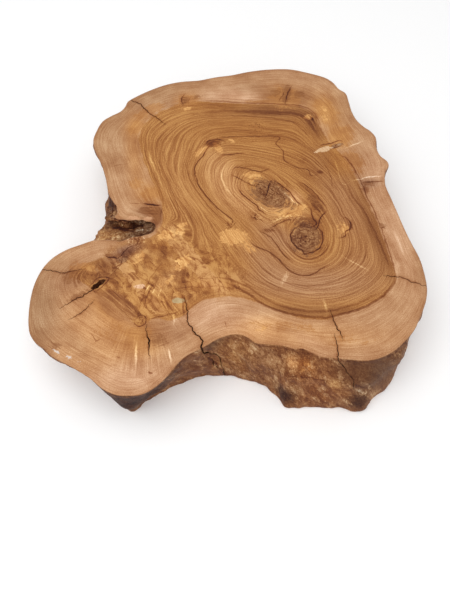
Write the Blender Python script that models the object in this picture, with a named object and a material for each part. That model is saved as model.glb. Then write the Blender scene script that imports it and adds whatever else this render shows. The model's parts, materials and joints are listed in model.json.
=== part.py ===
"""Olive wood round: a thick slab cut across the foot of an old olive trunk.

Two stems have grown together in it, so the outline is a broad round part with a lobe
at its front left, and a bark-lined notch where the two meet. Both faces are sawn flat.
The wall between them is the trunk's own live edge, with its bark peeled off.
The script works in millimetres and builds in metres, with the underside on z = 0.
"""

import math

import bmesh
import bpy
from mathutils import Vector, geometry, noise

MM = 0.001

# The slab, in millimetres
THICKNESS = 100.0
SHARP_ANGLE = math.radians(35)
OUTLINE_CENTRE = (0.5, 1.2)
STATION_SPACING = 8.5
TOP_EDGE_ROUND = 2.0
FOOT_EDGE_ROUND = 2.5
WAIST_DEPTH = 45.0
BEND_REACH = 2
LEVELS = (0, 2.5, 7, 13, 20, 27, 35, 43, 51, 59, 67, 75, 83, 91, 97, THICKNESS)

# Lumps and flutes of the live edge: size across, height, and how much longer than wide.
# They start below the rim, and towards the foot they lose this share of their height.
LUMP_SIZE = 52.0
LUMP_HEIGHT = 7.0
FLUTE_SIZE = 22.0
FLUTE_HEIGHT = 4.0
FLUTE_STRETCH = 3.5
GRAIN_LEAN = 0.45
LUMP_START_DEPTH = 16.0
FOOT_CALM = 0.65

# The rim, clockwise seen from above: x, y, and how far the wall stands out from the
# rim at the waist and at the foot. Where it is negative, the wall is undercut.
LOBE_LEFT = (
    (-248, -205, -22, -36),
    (-256, -190, -15, -30),
    (-260, -160, -8, -20),
    (-259, -128, -6, -16),
    (-252, -102, -5, -14),
    (-240, -83, -4, -10),
    (-222, -69, -2, -6),
    (-202, -60, 1, -1),
)

# The notch: x, y of the rim, then x, y where the wall has filled it in at the waist
NOTCH = (
    (-187, -54, -201, -41),
    (-168, -53, -198, -33),
    (-150, -55, -194, -25),
    (-135, -49, -190, -18),
    (-119, -46, -187, -12),
    (-107, -41, -184, -6),
    (-103, -33, -182, -1),
    (-106, -25, -181, 3),
    (-118, -21, -181, 7),
    (-134, -20, -182, 11),
    (-149, -20, -183, 15),
    (-161, -17, -184, 19),
    (-158, -8, -185, 23),
    (-160, 3, -186, 27),
    (-167, 14, -186, 32),
    (-173, 26, -185, 38),
)
NOTCH_FOOT_OUT = 5.0

BROAD_PART = (
    (-177, 42, 6, 9),
    (-181, 58, -1, 1),
    (-188, 79, -6, -10),
    (-199, 104, -6, -12),
    (-205, 127, -6, -12),
    (-202, 146, -4, -8),
    (-195, 165, 0, -4),
    (-182, 177, 2, 0),
    (-169, 186, 4, 3),
    (-162, 197, 6, 6),
    (-159, 207, 6, 6),
    (-145, 219, 3, 2),
    (-125, 232, 0, -3),
    (-101, 244, -2, -6),
    (-76, 251, 0, -4),
    (-48, 254, 3, 0),
    (-22, 261, 4, 2),
    (5, 266, 2, 0),
    (34, 274, -1, -4),
    (67, 279, -3, -8),
    (100, 279, -3, -8),
    (131, 270, -1, -4),
    (155, 260, 1, 0),
    (167, 249, 3, 3),
    (175, 235, 4, 6),
    (185, 225, 3, 4),
    (188, 208, 3, 6),
    (191, 186, 5, 8),
    (197, 168, 4, 6),
    (206, 155, 3, 2),
    (216, 145, 1, 0),
    (222, 133, 2, 0),
    (221, 112, 6, 6),
    (225, 97, 6, 5),
    (234, 86, 0, -2),
    (235, 77, 0, -2),
    (229, 67, 5, 6),
    (226, 43, 7, 9),
    (231, 19, 5, 6),
    (237, -7, 4, 4),
    (243, -34, 4, 4),
    (250, -60, 3, 3),
    (257, -83, 1, 1),
    (260, -108, 0, 1),
    (260, -132, 0, 2),
    (255, -151, 1, 5),
    (246, -170, 2, 4),
    (234, -192, 3, 5),
    (220, -207, 5, 10),
    (205, -220, 7, 15),
    (188, -229, 10, 19),
    (171, -233, 18, 33),
    (151, -232, 20, 29),
    (133, -230, 18, 30),
    (114, -228, 20, 31),
    (101, -222, 24, 40),
    (91, -217, 26, 46),
    (80, -217, 25, 41),
    (67, -213, 16, 29),
    (50, -211, 9, 17),
    (32, -209, 7, 14),
    (25, -203, 8, 17),
    (15, -198, 9, 20),
    (4, -197, 9, 19),
    (-14, -203, 6, 12),
    (-27, -211, 3, 5),
    (-37, -217, 1, -1),
    (-50, -224, -1, -4),
    (-62, -234, -4, -10),
    (-71, -246, -8, -18),
    (-81, -259, -10, -24),
    (-96, -272, -10, -26),
    (-109, -278, -8, -25),
    (-123, -279, -5, -17),
    (-138, -278, -5, -12),
    (-155, -270, -8, -18),
    (-171, -257, -11, -28),
    (-197, -241, -21, -38),
    (-222, -227, -27, -40),
    (-235, -215, -26, -40),
)

# Drying cracks: x, y along the top face, how wide and how deep each is there, and how
# far it leans in x for each millimetre down
CRACKS = {
    "crack_front_hollow": (0.28, (
        (-60, -143, 0.6, 5),
        (-55, -163, 1.6, 14),
        (-54, -180, 1.8, 26),
        (-45, -197, 2.4, 48),
        (-36, -207, 3.0, 80),
        (-36, -216, 3.4, 104),
        (-35, -240, 4.0, 106),
    )),
    "crack_lobe_middle": (0.05, (
        (-106, -182, 0.6, 5),
        (-105, -197, 1.8, 14),
        (-102, -207, 3.0, 20),
        (-102, -219, 1.8, 16),
        (-99, -231, 0.6, 4),
    )),
    "crack_from_knot_hole": (0.0, (
        (-174, -128, 2.4, 12),
        (-188, -139, 2.4, 12),
        (-202, -148, 1.6, 9),
        (-220, -161, 0.6, 3),
    )),
    "crack_below_knot_hole": (0.0, (
        (-176, -148, 0.6, 4),
        (-190, -166, 1.8, 10),
        (-207, -177, 0.6, 4),
    )),
    "crack_lobe_left": (0.0, (
        (-251, -101, 1.6, 9),
        (-234, -104, 1.6, 9),
        (-222, -107, 1.4, 7),
        (-194, -100, 0.6, 3),
    )),
    "crack_upper_left": (0.0, (
        (-158, 214, 1.0, 9),
        (-146, 204, 1.8, 12),
        (-130, 189, 2.4, 14),
        (-114, 172, 2.2, 12),
        (-92, 156, 0.6, 4),
    )),
    "crack_right": (0.0, (
        (207, -109, 0.6, 4),
        (226, -115, 1.6, 9),
        (240, -123, 1.8, 9),
        (257, -129, 1.2, 8),
    )),
    "crack_front_right_inner": (0.1, (
        (129, -173, 0.6, 5),
        (135, -189, 2.4, 14),
        (140, -200, 2.2, 14),
        (141, -211, 0.6, 5),
    )),
    "crack_front_right_outer": (0.42, (
        (131, -203, 0.6, 5),
        (130, -218, 1.6, 20),
        (133, -226, 2.0, 45),
        (135, -252, 2.6, 70),
    )),
}
CRACK_BOTTOM_SHARE = 0.3
CUTTER_ABOVE = 3.0

# The open knot hole in the lobe: its outline on the top face, and its depth
KNOT_HOLE = ((-184, -128), (-181, -121), (-172, -115), (-164, -116), (-163, -122), (-170, -131), (-179, -135))
KNOT_HOLE_DEPTH = 24.0
KNOT_HOLE_STEPS = ((CUTTER_ABOVE, 1.05), (-6.0, 0.85), (-15.0, 0.6), (-KNOT_HOLE_DEPTH, 0.25))


def ease(share):
    """Goes from 0 to 1 and is level at both ends."""
    share = min(max(share, 0.0), 1.0)
    return share * share * (3.0 - 2.0 * share)


def outward_directions(points, reach):
    """Directions out of a closed clockwise outline, judged over reach points each way."""
    total = len(points)
    directions = []
    for index in range(total):
        along = points[(index + reach) % total] - points[index - reach]
        directions.append(Vector((-along.y, along.x)).normalized())
    return directions


def outlines():
    """The rim, the waist and the foot as three lists of matching points."""
    rows = LOBE_LEFT + NOTCH + BROAD_PART
    centre = Vector(OUTLINE_CENTRE)
    rim = [Vector(row[:2]) - centre for row in rows]
    outward = outward_directions(rim, BEND_REACH)
    waist = []
    foot = []
    for row, point, direction in zip(rows, rim, outward):
        if row in NOTCH:
            filled = Vector(row[2:]) - centre
            waist.append(filled)
            foot.append(filled + Vector((-NOTCH_FOOT_OUT, 0.0)))
        else:
            waist.append(point + direction * row[2])
            foot.append(point + direction * row[3])
    return rim, waist, foot


def smooth_outline(points, spans, counts):
    """A smooth closed curve through the points, with counts[i] samples from point i on."""
    total = len(points)
    samples = []
    for index in range(total):
        following = (index + 1) % total
        start = points[index]
        end = points[following]
        leave = (end - points[index - 1]) / (spans[index - 1] + spans[index])
        arrive = (points[(index + 2) % total] - start) / (spans[index] + spans[following])
        reach = spans[index] / 3.0
        curve = geometry.interpolate_bezier(
            start.to_3d(),
            (start + leave * reach).to_3d(),
            (end - arrive * reach).to_3d(),
            end.to_3d(),
            counts[index] + 1,
        )
        samples.extend(point.to_2d() for point in curve[:-1])
    return samples


def relief(point, depth):
    """How far the live edge stands out at a place, from its lumps and its leaning flutes."""
    leaning = Vector((point.x - GRAIN_LEAN * depth, point.y, depth))
    lump = noise.noise(leaning / LUMP_SIZE) * LUMP_HEIGHT
    long_way = Vector((leaning.x, leaning.y, depth / FLUTE_STRETCH))
    flute = noise.noise(long_way / FLUTE_SIZE) * FLUTE_HEIGHT
    calm = 1.0 - FOOT_CALM * ease((depth - WAIST_DEPTH) / (THICKNESS - WAIST_DEPTH))
    return (lump + flute) * calm * ease(depth / LUMP_START_DEPTH)


def wall_ring(rim, waist, foot, depth):
    """One closed ring of the wall, at a depth below the top face."""
    if depth < WAIST_DEPTH:
        share = ease(depth / WAIST_DEPTH)
        ring = [a.lerp(b, share) for a, b in zip(rim, waist)]
    else:
        share = ease((depth - WAIST_DEPTH) / (THICKNESS - WAIST_DEPTH))
        ring = [a.lerp(b, share) for a, b in zip(waist, foot)]
    inset = 0.0
    if depth == 0:
        inset = TOP_EDGE_ROUND
    if depth == THICKNESS:
        inset = FOOT_EDGE_ROUND
    points = []
    for point, direction in zip(ring, outward_directions(ring, BEND_REACH)):
        moved = point + direction * (relief(point, depth) - inset)
        points.append(Vector((moved.x, moved.y, THICKNESS - depth)) * MM)
    return points


def loft(name, rings, collection):
    """A closed solid through rings of matching points, capped at both ends."""
    mesh = bmesh.new()
    loops = [[mesh.verts.new(point) for point in ring] for ring in rings]
    count = len(loops[0])
    for upper, lower in zip(loops, loops[1:]):
        for index in range(count):
            following = (index + 1) % count
            mesh.faces.new((upper[index], upper[following], lower[following], lower[index]))
    mesh.faces.new(reversed(loops[0]))
    mesh.faces.new(loops[-1])
    bmesh.ops.recalc_face_normals(mesh, faces=mesh.faces)
    data = bpy.data.meshes.new(name)
    mesh.to_mesh(data)
    mesh.free()
    solid = bpy.data.objects.new(name, data)
    collection.objects.link(solid)
    return solid


def make_slab(collection):
    """The slab before it dried and cracked."""
    rim, waist, foot = outlines()
    total = len(rim)
    spans = [(rim[(index + 1) % total] - rim[index]).length for index in range(total)]
    counts = [max(1, round(span / STATION_SPACING)) for span in spans]
    curves = [smooth_outline(points, spans, counts) for points in (rim, waist, foot)]
    rings = [wall_ring(*curves, depth) for depth in LEVELS]
    return loft("olive_wood_round", rings, collection)


def make_crack(name, lean, stations, collection):
    """A leaning wedge along a path, which cuts one drying crack."""
    centre = Vector(OUTLINE_CENTRE)
    path = [Vector(station[:2]) - centre for station in stations]
    rings = []
    for index, (_, _, width, depth) in enumerate(stations):
        before = path[max(index - 1, 0)]
        after = path[min(index + 1, len(path) - 1)]
        along = (after - before).normalized()
        across = Vector((-along.y, along.x))
        ring = []
        for level, share in ((CUTTER_ABOVE, 1.0), (-depth, CRACK_BOTTOM_SHARE)):
            middle = path[index] + Vector((-lean * level, 0.0))
            side = across * width * share / 2.0
            ends = (middle + side, middle - side)
            if share < 1.0:
                ends = reversed(ends)
            ring.extend(Vector((end.x, end.y, THICKNESS + level)) * MM for end in ends)
        rings.append(ring)
    return loft(name, rings, collection)


def make_knot_hole(collection):
    """The tapering hole where a small knot has rotted out."""
    centre = Vector(OUTLINE_CENTRE)
    outline = [Vector(point) - centre for point in KNOT_HOLE]
    middle = sum(outline, Vector((0.0, 0.0))) / len(outline)
    rings = []
    for level, share in KNOT_HOLE_STEPS:
        scaled = [middle.lerp(point, share) for point in outline]
        rings.append([Vector((p.x, p.y, THICKNESS + level)) * MM for p in scaled])
    return loft("knot_hole", rings, collection)


def wood_material():
    """Oiled olive heartwood, as one plain colour."""
    material = bpy.data.materials.new("oiled_olive_wood")
    material.use_nodes = True
    shader = material.node_tree.nodes["Principled BSDF"]
    shader.inputs["Base Color"].default_value = (0.42, 0.21, 0.075, 1.0)
    shader.inputs["Roughness"].default_value = 0.45
    shader.inputs["Metallic"].default_value = 0.0
    return material


def new_collection(name):
    collection = bpy.data.collections.new(name)
    bpy.context.scene.collection.children.link(collection)
    return collection


def main():
    for thing in list(bpy.data.objects):
        bpy.data.objects.remove(thing)
    parts = new_collection("olive wood round")
    cutters = new_collection("cutters")
    slab = make_slab(parts)
    slab.data.materials.append(wood_material())
    for name, (lean, stations) in CRACKS.items():
        make_crack(name, lean, stations, cutters)
    make_knot_hole(cutters)
    for cutter in cutters.objects:
        cutter.hide_render = True
        cutter.display_type = "WIRE"
        cut = slab.modifiers.new(cutter.name, "BOOLEAN")
        cut.operation = "DIFFERENCE"
        cut.object = cutter
    slab.data.shade_smooth()
    slab.data.set_sharp_from_angle(angle=SHARP_ANGLE)


main()
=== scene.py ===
# %% [markdown]
# # An olive wood round
# A slab sawn across the foot of an old olive trunk: a broad part and a lobe that have
# grown into one piece, with flat oiled faces and the trunk's own peeled edge round them.
# Nearly all of its look is figure, the lines that growth drew in the wood. A picture
# could be pasted on the face, but then the figure would stop at the edge of the picture.
# Here the growth itself is worked out at every point of the slab, and colour follows it.

# %% Load the solid that the slab has to follow
import json
import math

import bpy
import numpy as np
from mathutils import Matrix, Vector, geometry, kdtree, noise

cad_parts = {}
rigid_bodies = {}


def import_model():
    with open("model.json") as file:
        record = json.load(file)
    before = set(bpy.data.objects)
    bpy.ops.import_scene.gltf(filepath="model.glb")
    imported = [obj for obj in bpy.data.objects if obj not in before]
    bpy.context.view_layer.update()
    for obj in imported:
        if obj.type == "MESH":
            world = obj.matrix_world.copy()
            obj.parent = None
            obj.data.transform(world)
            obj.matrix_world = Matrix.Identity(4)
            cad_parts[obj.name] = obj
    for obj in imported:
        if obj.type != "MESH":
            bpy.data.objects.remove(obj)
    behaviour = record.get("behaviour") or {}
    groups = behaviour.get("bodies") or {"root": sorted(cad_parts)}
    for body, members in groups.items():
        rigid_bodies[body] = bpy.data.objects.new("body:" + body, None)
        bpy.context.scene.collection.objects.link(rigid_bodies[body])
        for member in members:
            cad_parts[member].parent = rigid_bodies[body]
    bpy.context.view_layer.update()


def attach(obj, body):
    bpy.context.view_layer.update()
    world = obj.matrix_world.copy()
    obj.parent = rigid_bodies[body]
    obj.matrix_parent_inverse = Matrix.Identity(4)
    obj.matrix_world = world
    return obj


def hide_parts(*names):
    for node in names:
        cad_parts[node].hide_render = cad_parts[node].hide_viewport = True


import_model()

MM = 0.001

# %% [markdown]
# ## The camera
# The slab is looked down on from in front, steeply, so that its face is nearly whole and
# a strip of the live edge shows below it. A camera can be aimed with a constraint, but a
# plain location and tilt are easier to read. It looks along +Y and only tips down.

# %% Place the camera
CAMERA_AT = (-0.0067, -0.5484, 0.8310)
CAMERA_TILT = math.radians(28.644)
CAMERA_LENS = 38.4

camera = bpy.data.objects.new("camera", bpy.data.cameras.new("camera"))
camera.location = CAMERA_AT
camera.rotation_euler = (CAMERA_TILT, 0.0, 0.0)
camera.data.lens = CAMERA_LENS
bpy.context.scene.collection.objects.link(camera)
bpy.context.scene.camera = camera
print("camera at", CAMERA_AT)

# %% [markdown]
# ## Floor and light
# A round like this is photographed on white, under a large soft light. One wide area
# light above the front and a bright even world do the same. The floor is a plain sheet.
# Colours are shown without a film curve, so that white stays white.

# %% Lay the floor and hang the light
FLOOR_SIZE = 6.0
FLOOR_COLOUR, FLOOR_ROUGHNESS = (0.95, 0.95, 0.95, 1.0), 0.8
FLOOR_GAP = 0.0004
WORLD_COLOUR, WORLD_STRENGTH = (1.0, 1.0, 1.0, 1.0), 0.78
LAMP_AT = (-0.35, -0.55, 1.7)
LAMP_SIZE = 1.6
LAMP_WATTS = 17.0

bpy.context.scene.view_settings.view_transform = "Standard"


def plain_material(name, colour, roughness):
    """A material with one colour, for what is not wood."""
    material = bpy.data.materials.new(name)
    material.use_nodes = True
    shader = material.node_tree.nodes["Principled BSDF"]
    shader.inputs["Base Color"].default_value = colour
    shader.inputs["Roughness"].default_value = roughness
    return material


def add_object(name, data):
    """An object in the scene that shows this data."""
    made = bpy.data.objects.new(name, data)
    bpy.context.scene.collection.objects.link(made)
    return made


half = FLOOR_SIZE / 2
floor_corners = [(-half, -half, 0), (half, -half, 0), (half, half, 0), (-half, half, 0)]
sheet = bpy.data.meshes.new("floor")
sheet.from_pydata(floor_corners, [], [range(4)])
sheet.materials.append(plain_material("white_sheet", FLOOR_COLOUR, FLOOR_ROUGHNESS))
floor = add_object("floor", sheet)
floor.location.z = -FLOOR_GAP

world = bpy.data.worlds.new("studio")
world.use_nodes = True
sky = world.node_tree.nodes["Background"]
sky.inputs["Color"].default_value = WORLD_COLOUR
sky.inputs["Strength"].default_value = WORLD_STRENGTH
bpy.context.scene.world = world

lamp = add_object("lamp", bpy.data.lights.new("lamp", "AREA"))
lamp.data.size = LAMP_SIZE
lamp.data.energy = LAMP_WATTS
lamp.location = LAMP_AT
lamp.rotation_euler = (-Vector(LAMP_AT)).to_track_quat("-Z", "Y").to_euler()
print("floor, world and lamp are in place")

# %% [markdown]
# ## The outline
# The rim is a list of places round the face, in millimetres, with how far the wall
# stands out from the rim half way down and at the foot. They are the ones that the solid
# is made from, so the fine slab follows it exactly. Bezier curves join them, with handles
# a third of the way along. In the notch the wall isn't set by the rim, so its rows give
# the place of the waist instead.

# %% The rim, the waist and the foot
THICKNESS = 100.0
OUTLINE_CENTRE = Vector((0.5, 1.2))
WAIST_DEPTH = 45.0
NOTCH_FOOT_OUT = 5.0
ROW_REACH = 2
HANDLE_PARTS = 3.0
LOBE_LEFT = (
    (-248, -205, -22, -36), (-256, -190, -15, -30), (-260, -160, -8, -20), (-259, -128, -6, -16),
    (-252, -102, -5, -14), (-240, -83, -4, -10), (-222, -69, -2, -6), (-202, -60, 1, -1),
)
NOTCH = (
    (-187, -54, -201, -41), (-168, -53, -198, -33), (-150, -55, -194, -25), (-135, -49, -190, -18),
    (-119, -46, -187, -12), (-107, -41, -184, -6), (-103, -33, -182, -1), (-106, -25, -181, 3),
    (-118, -21, -181, 7), (-134, -20, -182, 11), (-149, -20, -183, 15), (-161, -17, -184, 19),
    (-158, -8, -185, 23), (-160, 3, -186, 27), (-167, 14, -186, 32), (-173, 26, -185, 38),
)
BROAD_PART = (
    (-177, 42, 6, 9), (-181, 58, -1, 1), (-188, 79, -6, -10), (-199, 104, -6, -12), (-205, 127, -6, -12),
    (-202, 146, -4, -8), (-195, 165, 0, -4), (-182, 177, 2, 0), (-169, 186, 4, 3), (-162, 197, 6, 6),
    (-159, 207, 6, 6), (-145, 219, 3, 2), (-125, 232, 0, -3), (-101, 244, -2, -6), (-76, 251, 0, -4),
    (-48, 254, 3, 0), (-22, 261, 4, 2), (5, 266, 2, 0), (34, 274, -1, -4), (67, 279, -3, -8),
    (100, 279, -3, -8), (131, 270, -1, -4), (155, 260, 1, 0), (167, 249, 3, 3), (175, 235, 4, 6),
    (185, 225, 3, 4), (188, 208, 3, 6), (191, 186, 5, 8), (197, 168, 4, 6), (206, 155, 3, 2),
    (216, 145, 1, 0), (222, 133, 2, 0), (221, 112, 6, 6), (225, 97, 6, 5), (234, 86, 0, -2),
    (235, 77, 0, -2), (229, 67, 5, 6), (226, 43, 7, 9), (231, 19, 5, 6), (237, -7, 4, 4),
    (243, -34, 4, 4), (250, -60, 3, 3), (257, -83, 1, 1), (260, -108, 0, 1), (260, -132, 0, 2),
    (255, -151, 1, 5), (246, -170, 2, 4), (234, -192, 3, 5), (220, -207, 5, 10), (205, -220, 7, 15),
    (188, -229, 10, 19), (171, -233, 18, 33), (151, -232, 20, 29), (133, -230, 18, 30), (114, -228, 20, 31),
    (101, -222, 24, 40), (91, -217, 26, 46), (80, -217, 25, 41), (67, -213, 16, 29), (50, -211, 9, 17),
    (32, -209, 7, 14), (25, -203, 8, 17), (15, -198, 9, 20), (4, -197, 9, 19), (-14, -203, 6, 12),
    (-27, -211, 3, 5), (-37, -217, 1, -1), (-50, -224, -1, -4), (-62, -234, -4, -10), (-71, -246, -8, -18),
    (-81, -259, -10, -24), (-96, -272, -10, -26), (-109, -278, -8, -25), (-123, -279, -5, -17),
    (-138, -278, -5, -12), (-155, -270, -8, -18), (-171, -257, -11, -28), (-197, -241, -21, -38),
    (-222, -227, -27, -40), (-235, -215, -26, -40),
)


def outward_directions(points, reach):
    """Directions out of a closed clockwise outline, judged over reach points each way."""
    total = len(points)
    directions = []
    for index in range(total):
        along = points[(index + reach) % total] - points[index - reach]
        directions.append(Vector((-along.y, along.x)).normalized())
    return directions


def outlines():
    """The rim, the waist and the foot as three lists of matching points."""
    rows = LOBE_LEFT + NOTCH + BROAD_PART
    rim = [Vector(row[:2]) - OUTLINE_CENTRE for row in rows]
    waist = []
    foot = []
    for row, point, direction in zip(rows, rim, outward_directions(rim, ROW_REACH)):
        if row in NOTCH:
            filled = Vector(row[2:]) - OUTLINE_CENTRE
            waist.append(filled)
            foot.append(filled + Vector((-NOTCH_FOOT_OUT, 0.0)))
        else:
            waist.append(point + direction * row[2])
            foot.append(point + direction * row[3])
    return rim, waist, foot


def smooth_outline(points, spans, counts):
    """A smooth closed curve through the points, with counts[i] samples from point i on."""
    total = len(points)
    samples = []
    for index in range(total):
        following = (index + 1) % total
        start, end = points[index], points[following]
        leave = (end - points[index - 1]) / (spans[index - 1] + spans[index])
        arrive = (points[(index + 2) % total] - start) / (spans[index] + spans[following])
        reach = spans[index] / HANDLE_PARTS
        handles = (start, start + leave * reach, end - arrive * reach, end)
        curve = geometry.interpolate_bezier(*(handle.to_3d() for handle in handles), counts[index] + 1)
        samples.extend(point.to_2d() for point in curve[:-1])
    return samples


STATION_SPACING = 2.5
SOLID_REACH = 17.0
DIRECTION_REACH = round(SOLID_REACH / STATION_SPACING)

outline_points = outlines()
rim_points = outline_points[0]
outline_spans = [(end - start).length for start, end in zip(rim_points, rim_points[1:] + rim_points[:1])]
outline_counts = [max(1, round(span / STATION_SPACING)) for span in outline_spans]
RIM, WAIST, FOOT = (smooth_outline(points, outline_spans, outline_counts) for points in outline_points)
STATIONS = len(RIM)
print(STATIONS, "stations round the wall")

# %% [markdown]
# ## The live edge
# Under the bark an olive trunk is lumpy and fluted, and here its grain leans over to one
# side. The solid has the lumps and the broad flutes, from smooth noise that is stretched
# along the lean. The fine slab adds small ridges and pits to the same surface. Noise in
# code is better than a displacement texture here, because it can fade out towards the
# rim, where the saw has left a clean edge.

# %% Rings of the wall, from the top down
LUMP_SIZE = 52.0
LUMP_HEIGHT = 7.0
FLUTE_SIZE = 22.0
FLUTE_HEIGHT = 4.0
FLUTE_STRETCH = 3.5
GRAIN_LEAN = 0.45
LUMP_START_DEPTH = 16.0
FOOT_CALM = 0.65
RIDGE_SIZE, RIDGE_HEIGHT, RIDGE_STRETCH = 9.0, 1.3, 4.0
PIT_SIZE, PIT_HEIGHT = 3.6, 0.40
RIDGE_START_DEPTH = 7.0
BARK_MIDDLE, BARK_REACH, BARK_HEIGHT, BARK_SIZE = Vector((-150.0, -22.0)), 46.0, 5.5, 7.0
BARK_FINER_ACROSS, BARK_FINER_DOWN, BARK_FADE = 1.6, 2.2, 1.5
BARK_START_DEPTH = 3.0
TOP_EDGE_ROUND, FOOT_EDGE_ROUND = 2.0, 2.5
ROUND_DEPTH = 2.5
FOOT_ROUND_DEPTH = 3.0
LEVEL_STEP = 2.7
TOP_EDGE_DEPTHS, FOOT_EDGE_HEIGHTS = (0.0, 0.5, 1.3), (1.4, 0.5, 0.0)


def ease(share):
    """Goes from 0 to 1 and is level at both ends."""
    share = min(max(share, 0.0), 1.0)
    return share * share * (3.0 - 2.0 * share)


def wall_levels():
    """Depths below the face, close together where the edges are rounded."""
    first, last = ROUND_DEPTH, THICKNESS - FOOT_ROUND_DEPTH
    steps = round((last - first) / LEVEL_STEP)
    middle = [first + (last - first) * step / steps for step in range(steps + 1)]
    return [*TOP_EDGE_DEPTHS, *middle, *(THICKNESS - height for height in FOOT_EDGE_HEIGHTS)]


def relief(point, depth):
    """How far the live edge stands out at a place: lumps, leaning flutes, ridges and pits."""
    leaning = Vector((point.x - GRAIN_LEAN * depth, point.y, depth))
    long_way = Vector((leaning.x, leaning.y, depth / FLUTE_STRETCH))
    fine_way = Vector((leaning.x, leaning.y, depth / RIDGE_STRETCH))
    bark_way = Vector((point.x, point.y * BARK_FINER_ACROSS, depth * BARK_FINER_DOWN))
    lumps = noise.noise(leaning / LUMP_SIZE) * LUMP_HEIGHT
    flutes = noise.noise(long_way / FLUTE_SIZE) * FLUTE_HEIGHT
    ridges = noise.noise(fine_way / RIDGE_SIZE) * RIDGE_HEIGHT
    pits = noise.noise(leaning / PIT_SIZE) * PIT_HEIGHT
    bark = noise.noise(bark_way / BARK_SIZE) * BARK_HEIGHT
    bark *= ease(BARK_FADE - (point - BARK_MIDDLE).length / BARK_REACH) * ease(depth / BARK_START_DEPTH)
    calm = 1.0 - FOOT_CALM * ease((depth - WAIST_DEPTH) / (THICKNESS - WAIST_DEPTH))
    broad = (lumps + flutes) * calm * ease(depth / LUMP_START_DEPTH)
    return broad + (ridges + pits) * ease(depth / RIDGE_START_DEPTH) + bark


def edge_inset(depth):
    """How far the rounded top and bottom edges draw the outline in."""
    top = (depth, ROUND_DEPTH, TOP_EDGE_ROUND)
    bottom = (THICKNESS - depth, FOOT_ROUND_DEPTH, FOOT_EDGE_ROUND)
    for gap, over, most in (top, bottom):
        if gap < over:
            return most * (1.0 - math.sqrt(1.0 - (1.0 - gap / over) ** 2))
    return 0.0


def wall_ring(depth):
    """One closed ring of the wall, in millimetres."""
    if depth < WAIST_DEPTH:
        upper, lower, share = RIM, WAIST, depth / WAIST_DEPTH
    else:
        upper, lower, share = WAIST, FOOT, (depth - WAIST_DEPTH) / (THICKNESS - WAIST_DEPTH)
    ring = [start.lerp(end, ease(share)) for start, end in zip(upper, lower)]
    inset = edge_inset(depth)
    points = []
    for point, direction in zip(ring, outward_directions(ring, DIRECTION_REACH)):
        moved = point + direction * (relief(point, depth) - inset)
        points.append((moved.x, moved.y, THICKNESS - depth))
    return points


LEVELS = wall_levels()
wall = [wall_ring(depth) for depth in LEVELS]
print(len(LEVELS), "levels down the wall,", len(LEVELS) * STATIONS, "points")

# %% [markdown]
# ## Growth
# A tree adds a ring of wood each year, so every point of the face has an age. It is 0 at
# a pith and 100 here at the bark, whatever the true count. A few growth lines were drawn
# over the face, and a thin-plate spline, which bends like a springy sheet through
# given heights, fills in the ages between them. This slab has two piths close together,
# so the rings go round both, squeeze together on the left, and turn into the lobe.

# %% Growth lines drawn on the face, each with its age
GROWTH_LINES = {
    "upper_pith": (0, ((58, 23), (70, 18), (45, 38))),
    "round_upper_pith": (8, (
        (16, 54), (12, 36), (24, 18), (38, 4), (54, -10), (78, -3), (89, 7), (81, 27), (69, 47), (54, 65),
        (33, 73), (20, 65),
    )),
    "lower_pith": (2, ((106, -51), (100, -45), (110, -58))),
    "round_lower_pith": (9, (
        (82, -41), (85, -61), (96, -74), (112, -75), (123, -64), (129, -48), (125, -27), (113, -15),
        (96, -19), (86, -29),
    )),
    "round_both": (16, (
        (-2, 78), (-8, 60), (-6, 41), (1, 23), (12, 9), (25, -7), (40, -24), (56, -44), (69, -64),
        (82, -82), (94, -93), (112, -96), (128, -90), (142, -77), (148, -57), (149, -38), (142, -15),
        (133, 7), (118, 29), (102, 47), (86, 62), (67, 75), (45, 84), (23, 88), (7, 88),
    )),
    "oval": (25, (
        (-28, 88), (-33, 69), (-31, 47), (-23, 27), (-10, 7), (4, -12), (19, -31), (34, -51), (48, -70),
        (64, -90), (80, -104), (100, -110), (120, -108), (141, -101), (158, -85), (166, -64), (165, -39),
        (158, -10), (148, 18), (132, 43), (112, 65), (90, 82), (64, 94), (38, 101), (13, 105), (-11, 103),
    )),
    "strong": (35, (
        (-50, 82), (-54, 62), (-46, 38), (-33, 16), (-19, -3), (-2, -24), (12, -48), (25, -70), (41, -93),
        (56, -108), (76, -121), (96, -128), (119, -130), (143, -125), (166, -115), (184, -98), (192, -77),
        (191, -54), (186, -27), (176, 2), (165, 32), (150, 62), (131, 88), (113, 107), (92, 121), (62, 131),
        (32, 135), (1, 137), (-24, 129), (-40, 107),
    )),
    "middle": (46, (
        (-81, 107), (-84, 84), (-79, 58), (-68, 32), (-54, 7), (-43, -17), (-34, -41), (-21, -70),
        (-6, -93), (14, -112), (35, -128), (59, -140), (85, -149), (111, -152), (139, -149), (168, -139),
        (191, -122), (205, -102), (208, -80), (204, -54), (197, -26), (188, 4), (177, 36), (165, 65),
        (149, 92), (136, 113), (122, 133), (108, 151), (78, 161), (40, 166), (2, 168), (-29, 166),
        (-52, 157), (-70, 141), (-78, 125),
    )),
    "outer": (54, (
        (-115, 107), (-112, 84), (-104, 58), (-92, 32), (-83, 9), (-75, -17), (-68, -41), (-115, 131),
        (-101, 151), (-85, 166), (-66, 176), (-45, 181), (-6, 180), (40, 178), (79, 176), (103, 172),
        (115, 159), (124, 143), (135, 123),
    )),
}
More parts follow.
